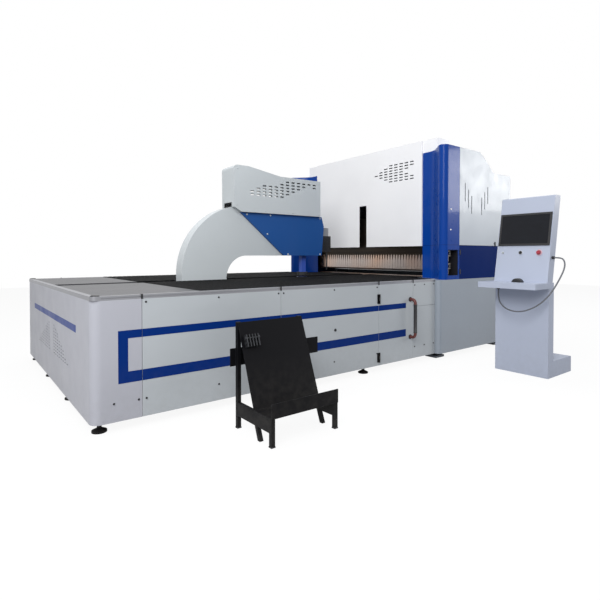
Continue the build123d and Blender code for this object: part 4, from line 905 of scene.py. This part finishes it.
    def mouldings(self) -> list[tuple[Finish, str]]:
        """List each plastic, rubber, brush and glass with its nodes, in one line of names.

        Returns:
            Pairs of a finish and its nodes.
        """
        return [
            (Moulding("motor_black", tint(30, 31, 34), bands=(self.motor_cap,)), "turn_motor drive_motor"),
            (Bristles("brush_bristles", tint(7, 7, 8), tint(24, 24, 26)), "brush_tables"),
            (Moulding("pad_rubber", tint(34, 34, 36), 0.7, 0.4, 500.0), "press_pad"),
            (Pane("screen_glass", tint(20, 22, 28)), ""),
            (Moulding("black_plastic", tint(26, 26, 29), 0.42), "monitor selector_knob mouse cable_glands"
             " console_cable"),
            (Moulding("red_plastic", tint(156, 36, 54), 0.35, 0.1, coat=0.2), "estop_button"),
            (Moulding("rim_plastic", tint(214, 172, 182), 0.4, 0.1), ""),
            (Moulding("lamp_plastic", tint(150, 160, 158), 0.2, 0.05, coat=0.5), "pilot_lamp"),
            (Moulding("cable_grey", tint(96, 98, 104), 0.5, 0.5, 350.0), ""),
            (Moulding("air_unit_grey", tint(142, 134, 126), 0.4), "air_units"),
        ]


@dataclass
class Trim:
    """Trim of one sub-assembly, in the machine's finishes."""

    finishes: Finishes

    def done(self, piece: Piece, finish: str, slot: Slot, body: Body = Body.MACHINE) -> None:
        """Close a piece with a finish and the body that carries it."""
        piece.finish(self.finishes.made[finish], slot, body)


@dataclass
class FeedTable(Trim):
    """Stripes, screws, rail clips, brush strips and lock nuts of the feed table."""

    stripe_start: float = 0.173
    stripe_bar: float = 0.240
    stripe_end: float = 3.185
    stripe_top: Span = (0.632, 0.688)
    stripe_bottom: Span = (0.326, 0.403)
    film: float = 0.0006
    seams: Row = (0.338, 1.529, 2.757, 3.306)
    seam: float = 0.003
    screw: Span = (0.008, 0.005)
    screw_top: float = 0.876
    screw_low: float = 0.196
    screw_inset: float = 0.027
    corner_screw: float = 0.144
    lock_at: Span = (2.156, 0.496)
    lock: Profile = (
        (0, 0), (0.014, 0), (0.014, 0.004), (0.011, 0.006), (0.005, 0.006), (0.004, 0.003), (0, 0.003),
    )
    clip: Span = (-0.008, 0.006)
    clip_drop: float = 0.031
    clip_proud: float = 0.004
    clip_reach: float = 0.024
    clip_rise: float = 0.003
    clip_edge: float = 0.001
    cap_inset: float = 0.036
    cap: Profile = (
        (0, 0), (0.030, 0), (0.030, 0.003), (0.024, 0.007), (0.008, 0.007), (0.006, 0.004), (0, 0.004),
    )
    strip_pitch: float = 0.058
    strip_width: float = 0.045
    strip_height: float = 0.004
    strip_root: float = 0.002
    strip_edge: float = 0.0025
    strip_inner: float = 0.092
    strip_clear: float = 0.004
    infeed: float = 1.0
    foot_rows: Row = (0.019, 0.7073)
    foot_sides: Row = (-0.94, -0.32, 0.32, 0.94)
    nut_seat: float = 0.052
    nut: Triple = (0.027, 0.016, 0.003)
    start: float = field(init=False)
    half: float = field(init=False)
    length: float = field(init=False)
    deck: float = field(init=False)

    def __post_init__(self) -> None:
        """Take the table's own sizes from the frame."""
        low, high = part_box("table_end_cover")
        rails_low, rails_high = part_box("top_rails")
        self.start, self.half = low.x, high.y
        self.length = rails_high.x - rails_low.x
        self.deck = rails_high.z

    def film_strip(self, piece: Piece, along: Span, heights: Span, side: int) -> None:
        """Add one straight run of the stripe to a side of the table, -1 for the operator's."""
        faces = sorted((side * self.half, side * (self.half + self.film)))
        piece.box(*zip((self.start + along[0], self.start + along[1]), faces, heights))

    def stripes(self) -> None:
        """Lay the stripe's frame over the covers, cut at each seam."""
        first, second, third = self.seams[:3]
        spans = (
            ("return", (self.stripe_bar, first - self.seam), Body.MACHINE),
            ("first_pan", (first, second - self.seam), Body.MACHINE),
            ("second_pan", (second, third - self.seam), Body.MACHINE),
            ("door", (third, self.stripe_end), Body.DOOR),
        )
        upright = (self.stripe_bottom[0], self.stripe_top[1])
        for side, word, _ in SIDES:
            for name, along, body in spans:
                piece = Piece(f"stripe_{word}_{name}")
                self.film_strip(piece, along, self.stripe_top, side)
                self.film_strip(piece, along, self.stripe_bottom, side)
                if name == "return":
                    self.film_strip(piece, (self.stripe_start, self.stripe_bar), upright, side)
                self.done(piece, "stripe_blue", Slot.BLUE, body if side < 0 else Body.MACHINE)

    def screws(self) -> None:
        """Put the pans' screws in, and the lock in the second pan."""
        first, second, third, fourth = self.seams
        inset = self.screw_inset
        places = []
        for start, end in ((first, second), (second, third), (fourth, self.length)):
            for along in (start + inset, (start + end) / 2, end - inset):
                places += [(self.start + along, self.screw_top), (self.start + along, self.screw_low)]
        for along in (self.corner_screw, first - inset):
            places.append((self.start + along, self.screw_low))
        along, height = self.lock_at
        for side, word, facing in SIDES:
            y = side * self.half
            piece = Piece(f"pan_screws_{word}")
            piece.screws(self.screw, places, y, facing)
            piece.add(Shape.turned(self.lock), stand((self.start + along, y, height), facing))
            self.done(piece, "black_plastic", Slot.BLACK)

    def rail_clips(self) -> None:
        """Clip the rails at the seams and cap their corners."""
        piece = Piece("rail_clips")
        top = self.deck + self.clip_rise
        for side, _, _ in SIDES:
            outer = side * (self.half + self.clip_proud)
            leaf = sorted((side * self.half, outer))
            tongue = sorted((outer, side * (self.half - self.clip_reach)))
            for along in self.seams:
                back, front = (self.start + along + reach for reach in self.clip)
                piece.box((back, leaf[0], self.deck - self.clip_drop), (front, leaf[1], top), self.clip_edge)
                piece.box((back, tongue[0], self.deck), (front, tongue[1], top), self.clip_edge)
            at = (self.start + self.cap_inset, side * (self.half - self.cap_inset), self.deck)
            piece.add(Shape.turned(self.cap), stand(at))
        self.done(piece, "black_plastic", Slot.BLACK)

    def brush_strips(self) -> None:
        """Stand the rows of brush strips on the decks."""
        low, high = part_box("brush_tables")
        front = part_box("base_panels")[0].x
        half = self.strip_width / 2
        root, tip = self.deck - self.strip_root, self.deck + self.strip_height
        for side, word, _ in SIDES:
            piece = Piece(f"brush_strips_{word}")
            row = low.x + self.strip_pitch / 2
            while row + half < high.x:
                reach = high.y if row + half < front else self.infeed
                ends = sorted((side * self.strip_inner, side * (reach - self.strip_clear)))
                piece.box((row - half, ends[0], root), (row + half, ends[1], tip), self.strip_edge)
                row += self.strip_pitch
            self.done(piece, "brush_bristles", Slot.BRUSH)

    def lock_nuts(self) -> None:
        """Put a lock nut on each levelling foot."""
        piece = Piece("foot_lock_nuts")
        for row in self.foot_rows:
            for side in self.foot_sides:
                at = (self.start + row * self.length, side * self.half, self.nut_seat)
                piece.add(Shape.nut(*self.nut), stand(at))
        self.done(piece, "ground_steel", Slot.STEEL)

    def build(self) -> None:
        """Build all trim of the table."""
        self.stripes()
        self.screws()
        self.rail_clips()
        self.brush_strips()
        self.lock_nuts()


@dataclass
class SideDoor(Trim):
    """Grip sleeve and foot flanges of the door's handle."""

    bar_out: float = 0.070
    bar_radius: float = 0.0165
    sleeve: float = 0.0185
    bead: float = 0.0015
    bead_length: float = 0.008
    bead_slope: float = 0.003
    low: float = 0.312
    high: float = 0.722
    bend: float = 0.052
    inset: float = 0.046
    flange_radius: float = 0.026
    flange_height: float = 0.007
    flange_edge: float = 0.002

    def build(self) -> None:
        """Build the sleeve with its end beads, and the flanges on the door."""
        low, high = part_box("side_door")
        x = high.x - self.inset
        start, end = self.low + self.bend, self.high - self.bend
        inner, outer, bead = self.bar_radius, self.sleeve, self.sleeve + self.bead
        full, run = self.bead_length, self.bead_length + self.bead_slope
        profile = (
            (inner, start), (bead, start), (bead, start + full), (outer, start + run),
            (outer, end - run), (bead, end - full), (bead, end), (inner, end),
        )
        grip = Piece("handle_grip")
        grip.add(Shape.turned(profile, Shape.grip_steps), Matrix.Translation((x, low.y - self.bar_out, 0)))
        self.done(grip, "black_plastic", Slot.CONTROL, Body.DOOR)
        feet = Piece("handle_flanges")
        for height in (self.low, self.high):
            flange = Shape.ring(inner, self.flange_radius, self.flange_height, self.flange_edge)
            feet.add(flange, stand((x, low.y, height), Facing.NEAR))
        self.done(feet, "black_plastic", Slot.CONTROL, Body.DOOR)


@dataclass
class ClampArm(Trim):
    """Screws, port frame and motor fins of the clamp arm."""

    cover_y: float = 0.105
    cover_screw: Span = (0.011, 0.006)
    cover_screws: Profile = (
        (-2.486, 1.676), (-2.159, 1.680), (-2.2027, 1.457), (-1.900, 1.216), (-1.383, 1.680), (-1.383, 1.216),
    )
    hood_y: float = 0.140
    hood_screw: Span = (0.008, 0.004)
    hood_screws: Profile = (
        (-2.640, 1.775), (-2.250, 1.722), (-1.850, 1.722), (-1.430, 1.722), (-2.630, 2.185), (-1.430, 2.125),
    )
    port_x: Span = (-2.6795, -2.6615)
    port_y: Span = (-0.075, 0.075)
    port_z: Span = (1.7603, 1.7973)
    port_lip: float = 0.008
    port_edge: float = 0.002
    fin_count: int = 12
    fin_heights: Span = (1.268, 1.440)
    fin_inset: float = 0.008
    fin_proud: float = 0.004
    fin_half: float = 0.004
    fin_edge: float = 0.0015

    def screws(self) -> None:
        """Put the screws in the coloured covers and the hood."""
        for name, y, size, places in (
            ("arm_cover_screws", self.cover_y, self.cover_screw, self.cover_screws),
            ("hood_screws", self.hood_y, self.hood_screw, self.hood_screws),
        ):
            piece = Piece(name)
            for side, _, facing in SIDES:
                piece.screws(size, places, side * y, facing)
            self.done(piece, "arm_white", Slot.WHITE, Body.ARM)

    def port_frame(self) -> None:
        """Line the hood's rear port with an edge strip."""
        back, front = self.port_x
        piece = Piece("hood_port_frame")
        for y, z in frame_bars(self.port_y, self.port_z, self.port_lip):
            piece.box((back, y[0], z[0]), (front, y[1], z[1]), self.port_edge, 2)
        self.done(piece, "pad_rubber", Slot.RUBBER, Body.ARM)

    def motor_fins(self) -> None:
        """Stack the cooling fins on the turning motor's sides."""
        low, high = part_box("turn_motor")
        start, end = self.fin_heights
        reach = Vector((-self.fin_inset, self.fin_proud, self.fin_half))
        piece = Piece("turn_motor_fins")
        for number in range(self.fin_count):
            z = start + number * (end - start) / (self.fin_count - 1)
            first, last = Vector((low.x, low.y, z)) - reach, Vector((high.x, high.y, z)) + reach
            piece.box(first, last, self.fin_edge)
        self.done(piece, "black_plastic", Slot.BLACK, Body.ARM)

    def build(self) -> None:
        """Build all trim of the arm."""
        self.screws()
        self.port_frame()
        self.motor_fins()


@dataclass
class Bender(Trim):
    """Column screws, recess frame, air fittings and band hinges of the bender."""

    column_screw: Span = (0.010, 0.005)
    column_screws: Profile = ((-0.569, 1.7436), (-0.573, 1.5043))
    recess_x: Span = (-0.625, -0.420)
    recess_z: Span = (0.962, 1.270)
    recess_lip: float = 0.010
    recess_depth: Span = (-0.002, 0.006)
    recess_edge: float = 0.0008
    hinges: Row = (1.240, 1.009)
    hinge_x: float = -0.386
    hinge_leaf: Triple = (0.011, 0.004, 0.03)
    hinge_edge: float = 0.001
    barrel: float = 0.006
    air_x: float = -0.5225
    air_front: float = 0.056
    air_middle: float = 0.086
    air_heights: Row = (1.075, 1.225)
    dial: Profile = ((0, 0), (0.020, 0), (0.020, 0.014), (0.017, 0.016), (0.016, 0.012), (0, 0.012))
    pipe: Profile = (
        (0, -0.062), (0.009, -0.062), (0.009, -0.04), (0.012, -0.04),
        (0.012, 0.04), (0.009, 0.04), (0.009, 0.062), (0, 0.062),
    )
    near: float = field(init=False)

    def __post_init__(self) -> None:
        """Take the columns' near face from the frame."""
        self.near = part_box("corner_columns")[0].y

    def screws(self) -> None:
        """Put the screws in the near column."""
        piece = Piece("column_screws")
        piece.screws(self.column_screw, self.column_screws, self.near, Facing.NEAR)
        self.done(piece, "aluminium", Slot.ALUMINIUM)

    def recess_frame(self) -> None:
        """Frame the recess of the air units."""
        front, back = (self.near + reach for reach in self.recess_depth)
        piece = Piece("recess_frame")
        for x, z in frame_bars(self.recess_x, self.recess_z, self.recess_lip):
            piece.box((x[0], front, z[0]), (x[1], back, z[1]), self.recess_edge)
        self.done(piece, "column_blue", Slot.BLUE)

    def band_hinges(self) -> None:
        """Put the hinges beside the dark band."""
        half, leaf, reach = self.hinge_leaf
        barrel = ((0, -reach), (self.barrel, -reach), (self.barrel, reach), (0, reach))
        piece = Piece("band_hinges")
        for z in self.hinges:
            low = (self.hinge_x - half, self.near - leaf, z - reach)
            piece.box(low, (self.hinge_x + half, self.near, z + reach), self.hinge_edge)
            at = (self.hinge_x, self.near - self.barrel, z)
            piece.add(Shape.turned(barrel, Shape.thin_steps), Matrix.Translation(at))
        self.done(piece, "clamp_steel", Slot.STEEL)

    def air_fittings(self) -> None:
        """Put a gauge and a pipe on each air unit."""
        gauges, pipes = Piece("air_gauges"), Piece("air_pipes")
        for z in self.air_heights:
            gauge_at = (self.air_x, self.near + self.air_front, z)
            gauges.add(Shape.turned(self.dial), stand(gauge_at, Facing.NEAR))
            pipe_at = (self.air_x, self.near + self.air_middle, z)
            pipes.add(Shape.turned(self.pipe, Shape.thin_steps), stand(pipe_at, Facing.EXIT))
        self.done(gauges, "black_plastic", Slot.CONTROL)
        self.done(pipes, "aluminium", Slot.ALUMINIUM)

    def build(self) -> None:
        """Build all trim of the bender."""
        self.screws()
        self.recess_frame()
        self.band_hinges()
        self.air_fittings()


@dataclass
class Console(Trim):
    """Screen pane, control collars, hook and mouse wheel of the console."""

    origin: Triple = (-0.655, -2.365, 0.935)
    lean: float = 0.160
    rise: float = 0.865
    pane: Triple = (0.478, 0.294, 0.0012)
    pane_edge: float = 0.0004
    pane_v: float = 0.539
    pane_out: float = 0.0066
    control_v: float = 0.300
    stop_u: float = 0.165
    stop_ring: Row = (0.021, 0.030, 0.005, 0.0015)
    knob_u: float = -0.020
    knob_ring: Row = (0.0160, 0.0205, 0.003, 0.001)
    lamp_u: float = -0.205
    lamp_ring: Row = (0.0085, 0.0125, 0.004, 0.001)
    hook_at: Triple = (-0.640, -2.095, 1.325)
    hook_plate: Triple = (0.012, 0.004, 0.02)
    hook_edge: float = 0.0015
    hook_rod: float = 0.005
    hook_bend: float = 0.016
    hook_turn: float = -150.0
    hook_tail: float = 0.014
    hook_root: float = 0.002
    wheel_back: float = 0.032
    wheel_sink: float = 0.014
    tyre: Profile = (
        (0, -0.004), (0.009, -0.004), (0.011, -0.002), (0.011, 0.002), (0.009, 0.004), (0, 0.004),
    )

    def face(self, along: float, up: float, out: float = 0.0) -> Matrix:
        """Return a place on the head's slanted face.

        Args:
            along: Distance to the operator's right.
            up: Distance up the face.
            out: Distance from the face.

        Returns:
            The place, with Z out of the face.
        """
        angle = math.atan2(self.lean, self.rise)
        across = Vector((0, -1, 0))
        rising = Vector((math.sin(angle), 0, math.cos(angle)))
        outward = Vector((-math.cos(angle), 0, math.sin(angle)))
        turn = Matrix((across, rising, outward)).transposed().to_4x4()
        at = Vector(self.origin) + along * across + up * rising + out * outward
        return Matrix.Translation(at) @ turn

    def front(self) -> None:
        """Put the pane in the screen and collars round the controls."""
        pane = Piece("screen_pane")
        pane.add(Shape.slab(self.pane, self.pane_edge), self.face(0, self.pane_v, self.pane_out))
        self.done(pane, "screen_glass", Slot.SCREEN)
        stop = Piece("stop_collar")
        stop.add(Shape.ring(*self.stop_ring), self.face(self.stop_u, self.control_v))
        self.done(stop, "rim_plastic", Slot.RED)
        collars = Piece("control_collars")
        collars.add(Shape.ring(*self.knob_ring), self.face(self.knob_u, self.control_v))
        collars.add(Shape.ring(*self.lamp_ring), self.face(self.lamp_u, self.control_v))
        self.done(collars, "aluminium", Slot.ALUMINIUM)

    def hook(self) -> None:
        """Hang the hook on the head's far side."""
        x, y, z = self.hook_at
        half, plate, reach = self.hook_plate
        piece = Piece("head_hook")
        piece.box((x - half, y, z - reach), (x + half, y + plate, z + reach), self.hook_edge)
        square = math.radians(90)
        outward = Matrix.Rotation(square, 4, "Z") @ Matrix.Rotation(square, 4, "Y")
        rod = Shape.bent_rod(self.hook_rod, self.hook_bend, math.radians(self.hook_turn), self.hook_tail)
        piece.add(rod, Matrix.Translation((x, y + self.hook_root, z)) @ outward)
        self.done(piece, "black_plastic", Slot.CONTROL)

    def mouse_wheel(self) -> None:
        """Set the wheel in the mouse."""
        low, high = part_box("mouse")
        at = ((low.x + high.x) / 2, high.y - self.wheel_back, high.z - self.wheel_sink)
        piece = Piece("mouse_wheel")
        piece.add(Shape.turned(self.tyre), stand(at, Facing.EXIT))
        self.done(piece, "pad_rubber", Slot.RUBBER)

    def build(self) -> None:
        """Build all trim of the console."""
        self.front()
        self.hook()
        self.mouse_wheel()


@dataclass
class PartStand(Trim):
    """Clamp rods and foot pads of the part stand."""

    rod: Profile = (
        (0, -0.058), (0.010, -0.058), (0.010, -0.050), (0.006, -0.050),
        (0.006, 0.050), (0.010, 0.050), (0.010, 0.058), (0, 0.058),
    )
    rod_rises: Span = (0.35, 0.72)
    rod_depth: float = 0.30
    rod_lean: float = 0.012
    pad: float = 0.034
    pad_height: float = 0.010
    pad_edge: float = 0.003
    pad_inset: float = 0.014
    pad_back: float = 0.022

    def clamp_rods(self) -> None:
        """Put the two rods through the clamp block."""
        low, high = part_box("clamp_block")
        y = low.y + self.rod_depth * (high.y - low.y)
        piece = Piece("clamp_rods")
        for rise in self.rod_rises:
            at = ((low.x + high.x) / 2, y + self.rod_lean * rise, low.z + rise * (high.z - low.z))
            piece.add(Shape.turned(self.rod, Shape.thin_steps), stand(at, Facing.EXIT))
        self.done(piece, "clamp_steel", Slot.STEEL)

    def foot_pads(self) -> None:
        """Put a pad under each corner of the frame."""
        low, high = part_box("stand_frame")
        sheet_low, sheet_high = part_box("stand_sheet")
        half = self.pad / 2
        piece = Piece("stand_pads")
        for x in (sheet_low.x + self.pad_inset, sheet_high.x - self.pad_inset):
            for y in (low.y + self.pad_inset, high.y - self.pad_back):
                top = (x + half, y + half, self.pad_height)
                piece.box((x - half, y - half, 0), top, self.pad_edge, 2)
        self.done(piece, "pad_rubber", Slot.RUBBER)

    def build(self) -> None:
        """Build all trim of the stand."""
        self.clamp_rods()
        self.foot_pads()


@dataclass(frozen=True)
class SoftLamp:
    """Soft rectangular lamp."""

    name: str
    at: Triple
    aim: Triple
    width: float
    height: float
    power: float

    def build(self) -> None:
        """Hang the lamp and turn it to what it lights."""
        data = bpy.data.lights.new(self.name, "AREA")
        data.shape, data.size, data.size_y, data.energy = "RECTANGLE", self.width, self.height, self.power
        turn = (Vector(self.aim) - Vector(self.at)).to_track_quat("-Z", "Y").to_matrix().to_4x4()
        link(self.name, data).matrix_world = Matrix.Translation(self.at) @ turn


@dataclass
class Studio:
    """Pale floor, soft lamps and a white surround."""

    floor_size: float = 30.0
    floor_cells: int = 8
    floor_bounce: Triple = (0.42, 0.42, 0.43)
    floor_seen: Triple = (0.96, 0.96, 0.96)
    floor_glow: float = 0.92
    sky: Triple = (0.95, 0.975, 1.0)
    sky_power: float = 0.42
    lamps: tuple[SoftLamp, ...] = (
        SoftLamp("key_lamp", (-7.0, -4.6, 4.6), (-1.5, -0.3, 1.0), 4.0, 4.0, 400.0),
        SoftLamp("top_lamp", (-2.0, 1.0, 8.0), (-2.0, 0.0, 0.0), 6.0, 6.0, 275.0),
        SoftLamp("side_lamp", (8.1, -6.2, 3.6), (0.0, -1.5, 2.0), 3.6, 2.0, 300.0),
    )

    def split(self, nodes: Nodes, hidden: Socket, seen: Socket, output: str) -> None:
        """Show one shader to rays from the camera, mirrors and glass, and another to the rest.

        Args:
            nodes: Node tree of the floor or the surround.
            hidden: Shader that lights the machine.
            seen: Shader that shows in the picture.
            output: Blender's name of the output node.
        """
        path = nodes.node("ShaderNodeLightPath").outputs
        direct = path["Is Camera Ray"]
        for name in ("Is Glossy Ray", "Is Transmission Ray"):
            direct = nodes.maths("MAXIMUM", direct, path[name])
        nodes.node(output, Surface=nodes.mixed(direct, hidden, seen))

    def floor(self) -> None:
        """Lay the pale floor, which keeps the machine's shadow."""
        mesh = bmesh.new()
        cells = self.floor_cells
        bmesh.ops.create_grid(mesh, x_segments=cells, y_segments=cells, size=self.floor_size / 2)
        data = bpy.data.meshes.new("studio_floor")
        mesh.to_mesh(data)
        mesh.free()
        material = bpy.data.materials.new("pale_floor")
        nodes = Nodes(material)
        nodes.tree.nodes.clear()
        bounce = nodes.node("ShaderNodeBsdfDiffuse", Color=self.floor_bounce).outputs["BSDF"]
        seen = nodes.node("ShaderNodeBsdfDiffuse", Color=self.floor_seen).outputs["BSDF"]
        glow = nodes.node("ShaderNodeEmission", Strength=1.0).outputs["Emission"]
        pale = nodes.mixed(self.floor_glow, seen, glow)
        self.split(nodes, bounce, pale, "ShaderNodeOutputMaterial")
        data.materials.append(material)
        floor = link("studio_floor", data)

    def world(self) -> None:
        """Surround the machine with soft light that the camera sees as white."""
        world = bpy.data.worlds.new("studio_world")
        bpy.context.scene.world = world
        nodes = Nodes(world)
        nodes.tree.nodes.clear()
        soft = nodes.node("ShaderNodeBackground", Color=self.sky, Strength=self.sky_power)
        white = nodes.node("ShaderNodeBackground", Color=(1.0, 1.0, 1.0))
        self.split(nodes, soft.outputs["Background"], white.outputs["Background"], "ShaderNodeOutputWorld")

    def build(self) -> None:
        """Build floor, surround and lamps, and set the plain view transform."""
        self.floor()
        self.world()
        for lamp in self.lamps:
            lamp.build()
        bpy.context.scene.view_settings.view_transform = "Standard"
        log.info("studio with %d lamps", len(self.lamps))


def main() -> None:
    """Build the scene round the frame."""
    logging.basicConfig(level=logging.INFO, format="%(message)s")
    Camera().build()
    finishes = Finishes()
    ConsoleCable().build(finishes.made["cable_grey"])
    for assembly in (FeedTable, SideDoor, ClampArm, Bender, Console, PartStand):
        assembly(finishes).build()
    Studio().build()


if __name__ == "__main__":
    main()
